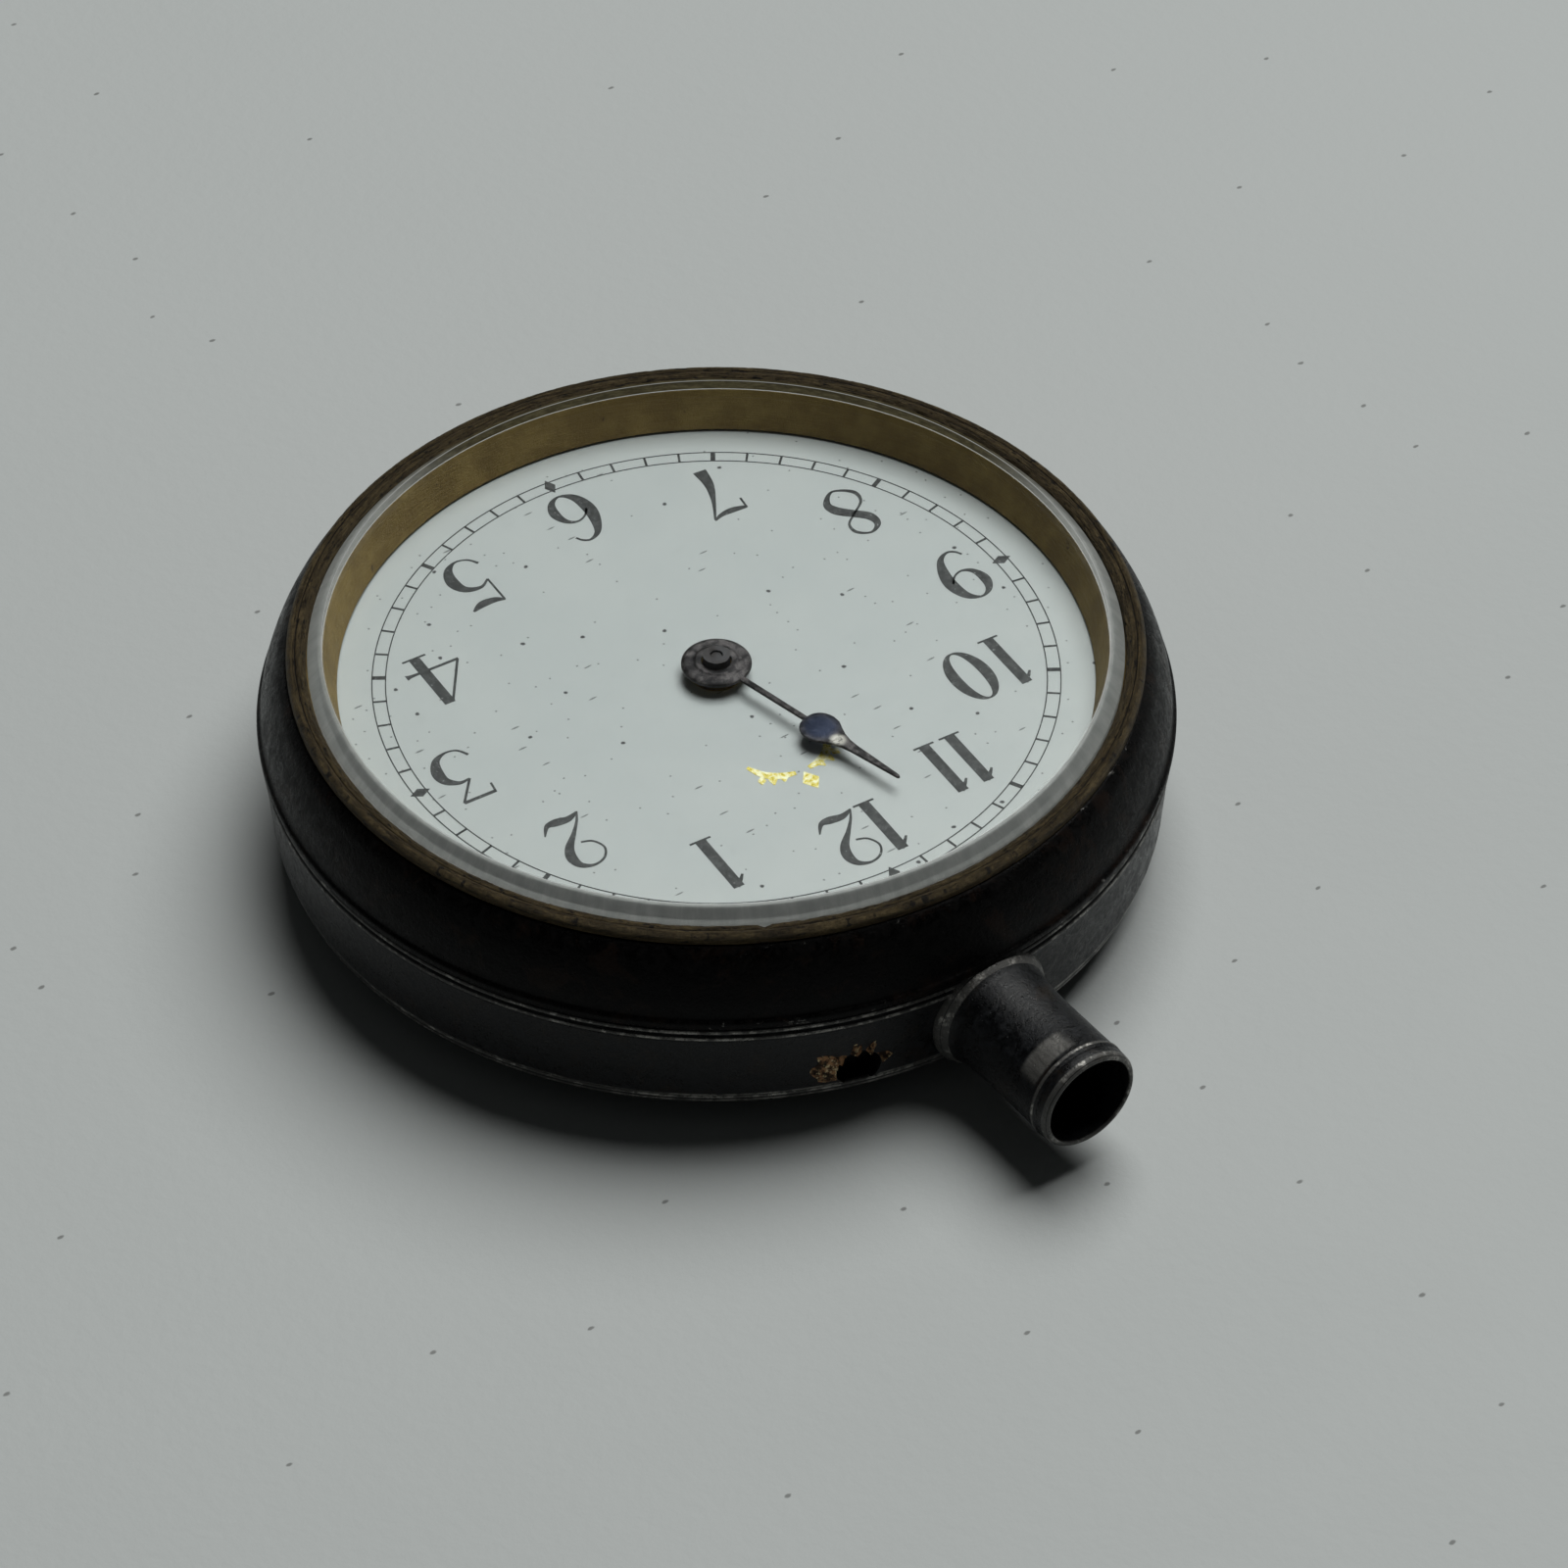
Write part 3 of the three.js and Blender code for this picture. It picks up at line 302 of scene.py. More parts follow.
# ---- Node materials ----
class Paint:
    """A node material built one node at a time round its Principled shader."""

    def __init__(self, name, **settings):
        self.material = bpy.data.materials.new(name)
        self.material.use_nodes = True
        self.tree = self.material.node_tree
        self.shader = self.tree.nodes["Principled BSDF"]
        self.output = self.tree.nodes["Material Output"]
        # The point on the piece, in millimetres.
        self.place = self.vector("SCALE", self.node("TexCoord").outputs["Object"], scale=1 / MM)
        for socket, value in settings.items():
            self.set(socket.replace("_", " ").title().replace("Ior", "IOR"), value)

    def node(self, kind, inputs=None, **settings):
        made = tune(self.tree.nodes.new("ShaderNode" + kind), **settings)
        for key, value in (inputs or {}).items():
            self.feed(made.inputs[key], value)
        return made

    def feed(self, socket, value):
        if isinstance(value, bpy.types.NodeSocket):
            self.tree.links.new(value, socket)
        else:
            socket.default_value = value

    def set(self, socket, value):
        self.feed(self.shader.inputs[socket], value)

    def math(self, operation, a, b=0.0):
        return self.node("Math", {0: a, 1: b}, operation=operation).outputs[0]

    def plus(self, a, b):
        return self.math("ADD", a, b)

    def less(self, a, b):
        return self.math("SUBTRACT", a, b)

    def times(self, a, b):
        return self.math("MULTIPLY", a, b)

    def most(self, a, b):
        return self.math("MAXIMUM", a, b)

    def vector(self, operation, a, b=None, scale=None):
        inputs = {key: value for key, value in ((0, a), (1, b), ("Scale", scale)) if value is not None}
        made = self.node("VectorMath", inputs, operation=operation)
        return made.outputs["Value" if operation == "LENGTH" else "Vector"]

    def parts(self, vector):
        return self.node("SeparateXYZ", {0: vector}).outputs

    def radius(self):
        return self.vector("LENGTH", self.stretch(self.place, (1, 1, 0)))

    def stretch(self, where, factors):
        return self.vector("MULTIPLY", where, factors)

    def away_from(self, point):
        return self.vector("LENGTH", self.vector("SUBTRACT", self.place, point))

    def round_place(self, around, outwards, upwards):
        """Seamless coordinates about Z, stretched by how fast each way changes."""
        place = self.place
        flat = self.stretch(place, (1, 1, 0))
        facing = self.vector("SCALE", self.vector("NORMALIZE", flat), scale=around)
        out = self.times(self.vector("LENGTH", flat), outwards)
        up = self.times(self.parts(place)[2], upwards)
        rise = self.node("CombineXYZ", {2: self.plus(out, up)}).outputs[0]
        return self.vector("ADD", facing, rise)

    def noise(self, scale, detail, roughness=0.6, distortion=0.0, where=None):
        inputs = {"Vector": where or self.place, "Scale": scale, "Detail": detail,
                  "Roughness": roughness, "Distortion": distortion}
        return self.node("TexNoise", inputs).outputs[0]

    def cells(self, where, scale):
        return self.node("TexVoronoi", {"Vector": where, "Scale": scale}).outputs["Distance"]

    def specks(self, where, scale, size, share):
        """Small ragged spots on a flat face, one in each square for a share of the squares."""
        reach = size / scale
        ragged = self.node("TexNoise", {"Vector": where, "Scale": 0.5 / reach}).outputs["Color"]
        torn = self.vector("ADD", where, self.vector("SCALE", ragged, scale=0.9 * reach))
        cell = self.node("TexVoronoi", {"Vector": torn, "Scale": scale}, voronoi_dimensions="2D")
        kept = self.math("LESS_THAN", self.parts(cell.outputs["Color"])[0], share)
        return self.times(kept, self.ease(cell.outputs["Distance"], size, 0.5 * size))

    def ease(self, value, low, high, start=0.0, end=1.0):
        """start up to low, end past high, smooth in between."""
        inputs = {"Value": value, "From Min": low, "From Max": high, "To Min": start, "To Max": end}
        return self.node("MapRange", inputs, interpolation_type="SMOOTHSTEP").outputs["Result"]

    def blend(self, share, a, b):
        made = self.node("Mix", data_type="RGBA")
        self.feed(made.inputs[0], share)
        for socket, colour in ((made.inputs[6], a), (made.inputs[7], b)):
            if not isinstance(colour, bpy.types.NodeSocket):
                colour = (*colour, 1)
            self.feed(socket, colour)
        return made.outputs[2]

    def shade(self, value, low, high, a, b):
        """Colour a up to low, colour b past high."""
        return self.blend(self.ease(value, low, high), a, b)

    def edge(self):
        return self.node("Attribute", attribute_name="edge").outputs["Fac"]

    def finish(self, colour, roughness=None, relief=None, depth=0.0):
        """Sets the colour, the roughness and a relief that is depth millimetres deep."""
        self.set("Base Color", colour)
        if roughness:
            self.set("Roughness", roughness)
        if relief:
            inputs = {"Height": relief, "Distance": depth * MM, "Strength": 1.0}
            self.set("Normal", self.node("Bump", inputs).outputs[0])
        return self.material


def stem_rub(paint):
    """The band rubbed bright on one side of the tube, just behind its mouth."""
    x, y, z = paint.parts(paint.place)
    up = paint.less(z, TUBE_AXIS)
    facing = paint.plus(paint.times(x, 0.5), paint.times(up, 0.87))
    around = paint.ease(facing, 0.8 * TUBE_HIGH.x, 0.96 * TUBE_HIGH.x)
    along = paint.times(paint.ease(y, *RUB[:2]), paint.ease(y, *RUB[2:]))
    streak = paint.noise(1.0, 5, where=paint.stretch(paint.place, (5, 0.8, 5)))
    return paint.times(paint.times(around, along), paint.ease(streak, 0.3, 0.7, 0.25, 0.6))


def gunmetal(name, dark, brown, brown_share, gloss, wear, sheen):
    """Blackened steel: mottled oxide, fine pits and bare metal on worn edges."""
    paint = Paint(name, specular_ior_level=sheen)
    blotch = paint.noise(0.55, 7, roughness=0.68, distortion=0.6)
    smudge = paint.noise(1.3, 6, roughness=0.68, distortion=1.2)
    grain = paint.noise(4.2, 6, roughness=0.7)
    rust = paint.ease(blotch, 0.6 - brown_share, 0.7 - 0.6 * brown_share)
    oxide = paint.shade(smudge, 0.42, 0.68, dark, tuple(5 * c for c in dark))
    oxide = paint.blend(paint.ease(grain, 0.5, 0.7, 0.0, 0.6), oxide, tuple(3 * c for c in dark))
    coat = paint.blend(rust, oxide, brown)
    x, y, _ = paint.parts(paint.place)
    aside = paint.ease(paint.math("ABSOLUTE", x), 3.6, 4.6)
    beside_stem = paint.times(paint.ease(y, 13, 21, 0.0, 0.07), aside)
    patches = paint.plus(paint.noise(1.2, 7, roughness=0.74), beside_stem)
    rubbed = paint.times(paint.ease(paint.edge(), 0.3, 0.95),
                         paint.ease(patches, 0.66 - wear, 0.78 - wear, 1.6 * wear, 1.0))
    nicks = paint.ease(paint.noise(1.0, 4, where=paint.round_place(30, 5, 11)), 0.7, 0.75)
    bare = paint.most(paint.most(rubbed, paint.times(nicks, 1.6 * wear)), stem_rub(paint))
    paint.set("Metallic", paint.times(bare, 0.85))
    rough = paint.plus(paint.ease(smudge, 0.34, 0.68, gloss - 0.05, gloss + 0.22),
                       paint.ease(grain, 0.35, 0.7, 0.0, 0.12))
    pits = paint.ease(paint.cells(paint.place, 2.6), 0.05, 0.16)
    relief = paint.plus(paint.times(grain, 0.8), paint.times(pits, 0.35))
    return paint.finish(paint.blend(bare, coat, (0.3, 0.29, 0.27)), rough, relief, 0.06)


def lip_brass():
    """Worn brass lip with concentric streaks above, dull gilding on the wall below."""
    paint = Paint("lip_brass", metallic=0.5, specular_ior_level=0.3)
    streak = paint.noise(1.0, 8, roughness=0.78, where=paint.round_place(12, 8, 8))
    grain = paint.noise(3.2, 7, roughness=0.75)
    olive = paint.shade(streak, 0.36, 0.64, (0.014, 0.01, 0.005), (0.125, 0.092, 0.044))
    tone = paint.shade(grain, 0.45, 0.66, olive, (0.052, 0.036, 0.018))
    grime = paint.ease(paint.noise(1.0, 6, where=paint.round_place(34, 6, 6)), 0.56, 0.64)
    top = paint.blend(grime, tone, (0.01, 0.008, 0.006))
    # darker in the lip's sharp inner corners
    inner_corners = paint.ease(paint.edge(), -0.2, -0.8)
    top = paint.blend(inner_corners, top, (0.008, 0.006, 0.005))
    cloud = paint.noise(0.4, 6, roughness=0.6)
    gilt = paint.shade(cloud, 0.35, 0.7, (0.175, 0.115, 0.033), (0.26, 0.18, 0.056))
    spots = paint.ease(paint.cells(paint.place, 0.42), 0.13, 0.07)
    stained = paint.times(spots, paint.ease(grain, 0.45, 0.6))
    gilt = paint.blend(stained, gilt, (0.06, 0.038, 0.016))
    tone = paint.shade(paint.parts(paint.place)[2], *LIP_WALL, gilt, top)
    return paint.finish(tone, paint.ease(streak, 0.3, 0.7, 0.42, 0.66),
                        paint.plus(streak, paint.times(grain, 0.9)), 0.16)


def clear_glass():
    """Old mineral glass with a ground bevel. Lamps shine through it. The bevel's colour is painted light and
    shade: a lit grey on the side towards the camera, a dark brown on the far side.
    """
    paint = Paint("crystal_glass", ior=1.46)
    ground = paint.ease(paint.radius(), GLASS_HIGH.x - 0.84, GLASS_HIGH.x - 0.72)
    fine = paint.noise(1.0, 6, roughness=0.7, where=paint.round_place(30, 4, 4))
    # Frosted grey. This is partly the ground glass's own colour and partly painted light, standing in for
    # the lit dial seen through the near side of the bevel.
    frost_and_painted_light = paint.shade(fine, 0.35, 0.7, (0.24, 0.25, 0.24), (0.34, 0.35, 0.335))
    # Painted shade: the dark brown of the far side of the bevel.
    far_painted_shade = paint.shade(fine, 0.35, 0.7, (0.03, 0.024, 0.01), (0.075, 0.062, 0.03))
    x, y, _ = paint.parts(paint.place)
    # The bevel is split by side along the camera's direction. Near the camera it is painted lit grey and is
    # partly clear. On the far side it is painted dark, opaque and less glossy.
    towards_camera = paint.plus(paint.times(x, 0.6), paint.times(y, 0.8))
    near_side = paint.ease(towards_camera, -16, -7)
    bevel = paint.blend(near_side, far_painted_shade, frost_and_painted_light)
    opaque = paint.less(1.0, paint.times(near_side, 0.4))
    paint.set("Transmission Weight", paint.less(1.0, paint.times(ground, opaque)))
    far_bevel = paint.times(ground, paint.less(1.0, near_side))
    paint.set("Specular IOR Level", paint.less(0.5, paint.times(far_bevel, 0.46)))
    through = paint.node("BsdfTransparent", {"Color": (0.95, 0.965, 0.965, 1)})
    path = paint.node("LightPath")
    unbent = paint.most(path.outputs["Is Shadow Ray"], path.outputs["Is Diffuse Ray"])
    mix = paint.node("MixShader", {0: unbent})
    paint.tree.links.new(paint.shader.outputs[0], mix.inputs[1])
    paint.tree.links.new(through.outputs[0], mix.inputs[2])
    paint.tree.links.new(mix.outputs[0], paint.output.inputs["Surface"])
    return paint.finish(paint.blend(ground, (0.965, 0.98, 0.975), bevel), paint.times(ground, 0.5))


def enamel():
    """Cool white vitreous enamel with pinholes, dust and faint scratches."""
    paint = Paint("dial_enamel", roughness=0.28, coat_weight=0.3, coat_roughness=0.1)
    cloud = paint.noise(0.16, 5, roughness=0.6)
    white = paint.shade(cloud, 0.3, 0.75, (0.575, 0.605, 0.6), (0.61, 0.635, 0.625))
    flat = paint.stretch(paint.place, (1, 1, 0))
    coarse = paint.specks(flat, 0.3, 0.045, 0.34)
    fine = paint.specks(flat, 1.1, 0.085, 0.16)
    scratch = paint.specks(paint.stretch(flat, (0.45, 2.1, 1)), 0.42, 0.06, 0.25)
    dust = paint.most(coarse, paint.times(fine, 0.65))
    grey = paint.ease(paint.noise(1.1, 7, roughness=0.8), 0.52, 0.8, 0.0, 0.35)
    base = paint.blend(grey, white, (0.46, 0.48, 0.475))
    marks = paint.most(dust, paint.times(scratch, 0.7))
    return paint.finish(paint.blend(marks, base, (0.05, 0.05, 0.052)),
                        relief=paint.noise(0.5, 3), depth=0.02)


def ink():
    """Printed and fired black, thin in places."""
    paint = Paint("dial_ink")
    wear = paint.noise(3.2, 6, roughness=0.75)
    tone = paint.shade(wear, 0.45, 0.62, (0.006, 0.007, 0.007), (0.034, 0.036, 0.036))
    flecks = paint.ease(paint.noise(5.5, 3), 0.64, 0.7)
    return paint.finish(paint.blend(flecks, tone, (0.27, 0.285, 0.285)),
                        paint.ease(wear, 0.3, 0.8, 0.32, 0.5))


def bright_gilt():
    paint = Paint("ornament_gilt", metallic=0.45)
    wear = paint.noise(4.5, 5, roughness=0.7)
    tone = paint.shade(wear, 0.42, 0.62, (0.74, 0.6, 0.09), (0.78, 0.76, 0.52))
    return paint.finish(tone, paint.ease(wear, 0.3, 0.8, 0.25, 0.45))


def hand_steel():
    """Hub and stem oxidised to a mottled grey, a blue bulb with a pale worn end."""
    paint = Paint("hand_steel", metallic=0.6)
    mottle = paint.noise(1.9, 7, roughness=0.72)
    black = paint.shade(mottle, 0.42, 0.66, (0.014, 0.012, 0.013), (0.085, 0.075, 0.075))
    blue = paint.ease(paint.away_from((0, BULB, HAND_HIGH.z)), 1.25, 0.55)
    tone = paint.blend(paint.times(blue, 0.9), black, (0.008, 0.016, 0.045))
    from_worn = paint.away_from((0.12, BULB + 1.35, HAND_HIGH.z))
    worn = paint.times(paint.ease(from_worn, 0.55, 0.2), paint.ease(mottle, 0.3, 0.5))
    return paint.finish(paint.blend(worn, tone, (0.42, 0.4, 0.36)),
                        paint.ease(mottle, 0.3, 0.75, 0.28, 0.55), mottle, 0.05)


def metal(name, colour, tint, gloss):
    """Plain movement metal, slightly tarnished."""
    paint = Paint(name, metallic=1.0)
    tarnish = paint.noise(1.12, 6, roughness=0.65)
    fine = paint.noise(14.4, 4, roughness=0.7)
    return paint.finish(paint.shade(tarnish, 0.4, 0.75, colour, tint),
                        paint.ease(fine, 0.25, 0.8, gloss - 0.08, gloss + 0.12), fine, 0.008)


def frosted_gilt():
    """Grained gilding with soft parallel damascening across the bridges."""
    paint = Paint("plate_gilt", metallic=1.0)
    x, y, _ = paint.parts(paint.place)
    across = paint.plus(paint.times(x, 0.82), paint.times(y, 0.57))
    wave = paint.math("SINE", paint.times(across, TAU / 2.6))
    tarnish = paint.noise(0.5, 6, roughness=0.65)
    tone = paint.shade(tarnish, 0.38, 0.72, (0.66, 0.48, 0.2), (0.54, 0.38, 0.155))
    spots = paint.ease(paint.noise(2.1, 5), 0.66, 0.74)
    grain = paint.noise(14, 3)
    rough = paint.plus(paint.ease(wave, -1, 1, 0.27, 0.43), paint.times(grain, 0.06))
    return paint.finish(paint.blend(spots, tone, (0.16, 0.1, 0.05)), rough,
                        paint.plus(paint.times(wave, 0.25), grain), 0.012)


def ruby():
    paint = Paint("ruby", transmission_weight=0.35, ior=1.76, roughness=0.04)
    cloud = paint.noise(3, 3)
    return paint.finish(paint.blend(cloud, (0.42, 0.008, 0.05), (0.62, 0.03, 0.1)))


def torn_brass():
    """Coppery torn metal, black with old flux in its hollows."""
    paint = Paint("boss_brass", metallic=0.8)
    rough = paint.noise(2.4, 7, roughness=0.75)
    tone = paint.shade(rough, 0.44, 0.6, (0.035, 0.022, 0.014), (0.55, 0.3, 0.15))
    bright = paint.ease(paint.noise(5, 4), 0.54, 0.62)
    return paint.finish(paint.blend(bright, tone, (0.85, 0.7, 0.42)),
                        paint.ease(rough, 0.3, 0.7, 0.55, 0.3), rough, 0.2)


# ---- Case ----
def knuckle(start, end, leaf_low, leaf_high):
    """A hinge barrel along X with the leaf that holds it to the rim."""
    bore = 0.37
    barrel = turned([(bore, start), (HINGE_RADIUS, start, 0.1), (HINGE_RADIUS, end, 0.1),
                     (bore, end)], 40)
    move(barrel, shift(0, HINGE.y, HINGE.z) @ spin(pi / 2, "Y"))
    leaf = slab((start, HINGE.y + 0.5, leaf_low), (end, HINGE.y + 1.35, leaf_high))
    return merged(barrel, leaf)


def back_shell(material):
    """The domed snap-on back, flat where it rests."""
    rim = 23.4
    rise = BAND_FOOT - 0.5

    def dome(radius):
        share = max(0.0, (radius - BACK_FOOT) / (rim - BACK_FOOT))
        return rise * (1 - sqrt(max(0.0, 1 - share * share)))

    outside = [(radius, dome(radius)) for radius in
               [0, 5, BACK_FOOT] + [BACK_FOOT + 0.67 * i for i in range(1, 20)]]
    lip = [(rim, rise, 0.1), (rim, BAND_FOOT - 0.1, 0.15), (22.2, BAND_FOOT - 0.1), (22.2, 3.3, 0.12),
           (21.7, 3.3, 0.12)]
    inside = [(21.7, 2.05, 0.3), (19.5, 1.35, 1), (15.5, 0.8, 1.5), (BACK_FOOT, 0.6, 1), (0, 0.6)]
    shell = turned([*outside, *lip, *inside])
    hinge = knuckle(-HINGE_SPLIT, HINGE_SPLIT, HINGE.z - 0.6, HINGE.z - 0.2)
    stand_in(to_object("back_shell", merged(shell, hinge)), "back_cover", material)


def drill(name, radius, start, end, height, turn=0.0):
    """A round cutter lying along Y, turned about Z."""
    rod = along_y(turned([(0, start), (radius, start), (radius, end), (0, end)], 48), height)
    return to_object(name, move(rod, spin(turn)))


def band(material):
    """The middle of the case: two beads under the bezel and a worn lower rim."""
    foot, wide = BAND_RADIUS - 0.4, BAND_RADIUS

    def worn(radius, height, angle):
        if radius < wide - 0.8:
            return radius, height
        low_rim = max(0.0, 1 - abs(height - BAND_FOOT) / 0.35)
        beads = max(0.0, 1 - abs(height - SEAM + 0.35) / 0.5)
        rough = ripple(25, angle, height, 1.9)
        return radius - 0.06 * low_rim * abs(rough) - 0.025 * beads * abs(rough), height

    outline = [
        (22.4, BAND_FOOT), (foot + 0.06, BAND_FOOT, 0.12), (foot + 0.1, BAND_FOOT + 0.9),
        (foot + 0.18, BAND_FOOT + 1.8, 0.6), (wide - 0.1, SEAM - 1.0, 0.4), (wide - 0.08, SEAM - 0.85),
        (wide + 0.06, SEAM - 0.64, 0.14), (wide - 0.12, SEAM - 0.44), (wide + 0.03, SEAM - 0.22, 0.14),
        (wide - 0.2, SEAM), (22.9, SEAM), (22.9, 8.6), (21.3, 8.6), (21.3, PLATE_LOW.z),
        (20.2, PLATE_LOW.z), (20.2, 5.7), (22.4, 5.7),
    ]
    ring = to_object("band", turned(outline, warp=worn))
    carve(ring, drill("bore", STEM_BORE, 19, 26, TUBE_AXIS),
          drill("pin", PIN_HOLE["radius"], 21, 27, PIN_HOLE["height"], PIN_HOLE["turn"]))
    split, end = HINGE_SPLIT + 0.05, 4.5
    knuckles = merged(*[knuckle(*reach, HINGE.z, HINGE.z + 0.55)
                        for reach in ((-end, -split), (split, end))])
    fit(to_object("band_knuckles", knuckles), "case", material)
    stand_in(ring, "mid_case", material)


def pendant(material):
    """The stem tube: a soldered collar at the band and a stepped, rounded mouth."""
    wide, mouth = TUBE_HIGH.x, TUBE_HIGH.y
    bore, root = 2.5, 22.8
    outline = [
        (bore, root), (wide + 0.5, root), (wide + 0.5, 23.75, 0.2), (wide + 0.28, 24.15, 0.2),
        (wide + 0.02, 24.6, 0.3), (wide - 0.1, 26.5, 1.0), (wide - 0.08, mouth - 1.3),
        (wide, mouth - 1.12, 0.12), (wide - 0.12, mouth - 0.86), (wide - 0.06, mouth - 0.7),
        (wide - 0.08, mouth - 0.2, 0.15), (wide - 0.25, mouth, 0.14), (bore, mouth, 0.12),
    ]

    def knocked(radius, height, angle):
        flare = max(0.0, (height - mouth + 1.5) / 1.5)
        knock = ripple(2, angle, 0.3 * height, 0.8)
        return radius * (1 + 0.008 * flare * knock), height

    tube = along_y(turned(outline, 160, warp=knocked), TUBE_AXIS)
    stand_in(to_object("pendant", tube), "pendant_tube", material)


# Scraps round the hole: where each starts and ends, in degrees, and how far it reaches.
SCRAPS = [(118, 205, 1.5), (80, 112, 0.65), (52, 76, 0.75), (2, 40, 0.55)]


def boss_remnant(material):
    """Ragged scraps of the soldered boss that once guided the setting pin."""
    rng = random.Random(7)
    made = bmesh.new()
    hole = PIN_HOLE["radius"]
    for start, end, reach in SCRAPS:
        steps = max(5, int((end - start) / 6))
        rows = []
        for i in range(steps + 1):
            turn = start + (end - start) * i / steps
            swell = sin(pi * i / steps) ** 0.6
            outer = hole + 0.12 + reach * swell * rng.uniform(0.55, 1.0)
            row = []
            for share in (0.0, 0.5, 1.0):
                x, z = polar((0, 0), hole + 0.04 + (outer - hole) * share, turn)
                rise = (0.12 + 0.2 * (1 - share)) * rng.uniform(0.4, 1.2) * (0.3 + swell)
                row += [made.verts.new((x, height, z)) for height in (0.0, rise)]
            rows.append(row)
        skin(made, rows)
    surface = BAND_RADIUS - 0.28
    for vert in made.verts:
        vert.co.y += sqrt(surface ** 2 - vert.co.x ** 2) - 0.04
        vert.co.z += PIN_HOLE["height"]
        vert.co.x = -vert.co.x
    move(made, spin(PIN_HOLE["turn"]))
    stand_in(to_object("pin_boss_remnant", made, sharp=50), "setting_pin_boss", material)


def skin(made, rows):
    """Closes a run of rows, each of three bottom and top point pairs, into a solid."""
    loop = (0, 2, 4, 5, 3, 1)
    for a, b in zip(rows, rows[1:]):
        for i, j in zip(loop, loop[1:] + loop[:1]):
            made.faces.new((a[i], b[i], b[j], a[j]))
    for row in (rows[0], rows[-1]):
        made.faces.new([row[i] for i in loop])


def bezel(material):
    """Snap-on bezel: rolled rim at its widest and a convex flank up to the lip."""
    wide, seam, top = BEZEL_HIGH.x, BEZEL_LOW.z, BEZEL_HIGH.z
    bore, step = 21.65, 8.7
    outline = [
        (wide - 1.1, seam), (wide - 0.16, seam, 0.1), (wide, seam + 0.18, 0.12),
        (wide, seam + 0.52, 0.16), (wide - 0.2, seam + 0.68, 0.1),
        (wide - 0.3, seam + 1.5, 0.5), (wide - 0.68, seam + 2.75, 0.8),
        (wide - 1.22, seam + 3.82, 0.5), (wide - 1.72, top, 0.16), (bore, top),
        (bore, step), (wide - 1.1, step),
    ]

    def dented(radius, height, angle):
        dent = ripple(24, angle, height, 0.11)
        return (radius - 0.03 * abs(dent) if radius > 22 else radius), height

    stand_in(to_object("bezel_ring", turned(outline, warp=dented)), "bezel", material)


def glass_lip(material):
    """Brass lip round the glass, its inner groove crumbling, over a gilded wall."""
    wide, top = RING_HIGH.x, RING_HIGH.z
    wall = RING_LOW.z
    outline = [
        (19.75, wall), (21.6, wall), (21.6, 12), (wide, 12, 0.05), (wide, top - 0.2, 0.15),
        (wide - 0.22, top, 0.1), (wide - 0.42, top - 0.03, 0.05), (wide - 0.47, top - 0.1, 0.03),
        (wide - 0.53, top - 0.03, 0.03), (wide - 0.72, top, 0.06), (wide - 0.9, top - 0.14, 0.06),
        (21.27, 12.3, 0.04), (21.27, 11.85), (20.45, 11.85, 0.1),
    ]

    def crumbled(radius, height, angle):
        if height < 12.1:
            return radius, height
        fine = ripple(22, angle, 3 * radius, 2.3)
        coarse = ripple(22, angle, 0, 0.7)
        inner = max(0.0, 1 - abs(radius - 21.45) / 0.4)
        notch = max(0.0, 1 - abs((angle - NOTCH) * radius) / 0.35) * max(0.0, 1 - abs(radius - 21.5) / 0.45)
        drop = 0.05 * abs(fine) + inner * (0.1 * abs(coarse) + 0.08 * abs(fine)) + 0.35 * notch
        return radius + 0.05 * inner * fine, height - drop

    stand_in(to_object("glass_lip", turned(outline, 720, warp=crumbled), sharp=45), "crystal_ring", material)


def glass(material):
    wide, low, top = GLASS_HIGH.x, GLASS_LOW.z, GLASS_HIGH.z
    outline = [(0, low), (wide, low, 0.05), (wide, low + 0.43, 0.06), (wide - 0.6, top, 0.1), (0, top)]
    stand_in(to_object("glass", turned(outline)), "crystal", material)


# ---- Dial and hand ----
TRACK = 0.872 * DIAL_HIGH.x          # outer circle of the minute track
NUMERAL_HEIGHT = 0.225 * TRACK
PRINT = 0.012                        # thickness of the fired print
LAYER = 0.0006                       # step from one stroke's height to the next
BULB = 7.35                          # from the hub to the middle of the hand's bulb

# Each numeral is a list of pen strokes. A stroke's points are (x, y, width) in
# a box one unit high, centred on the numeral. Without a width they are hairlines.
HAIRLINE = 0.03
ONE = [
    [(0, 0.48, 0.15), (0, -0.48, 0.15)],
    [(-0.15, 0.3), (-0.08, 0.38, 0.05), (0.02, 0.47, 0.07)],
    [(-0.15, -0.485), (0.15, -0.485)],
]
TWO = [
    [(-0.05, 0.04), (-0.19, 0.1), (-0.26, 0.27), (-0.17, 0.43, 0.035),
     (0, 0.485, 0.04), (0.15, 0.41, 0.09), (0.19, 0.25, 0.14), (0.13, 0.07, 0.12),
     (-0.05, -0.14, 0.06), (-0.2, -0.33, 0.035), (-0.28, -0.48)],
    [(-0.28, -0.47), (-0.12, -0.41, 0.1), (0.05, -0.43, 0.13), (0.18, -0.42, 0.07),
     (0.29, -0.27, 0.02)],
]
THREE = [
    [(-0.24, 0.3), (-0.22, 0.46)],
    [(-0.23, 0.46, 0.05), (0.23, 0.46, 0.05)],
    [(0.23, 0.46, 0.035), (-0.05, 0.09, 0.035)],
    [(-0.05, 0.09), (0.1, 0.1, 0.06), (0.24, -0.02, 0.13), (0.255, -0.2, 0.16),
     (0.17, -0.4, 0.1), (0, -0.485, 0.035), (-0.16, -0.45), (-0.25, -0.31, 0.04)],
]
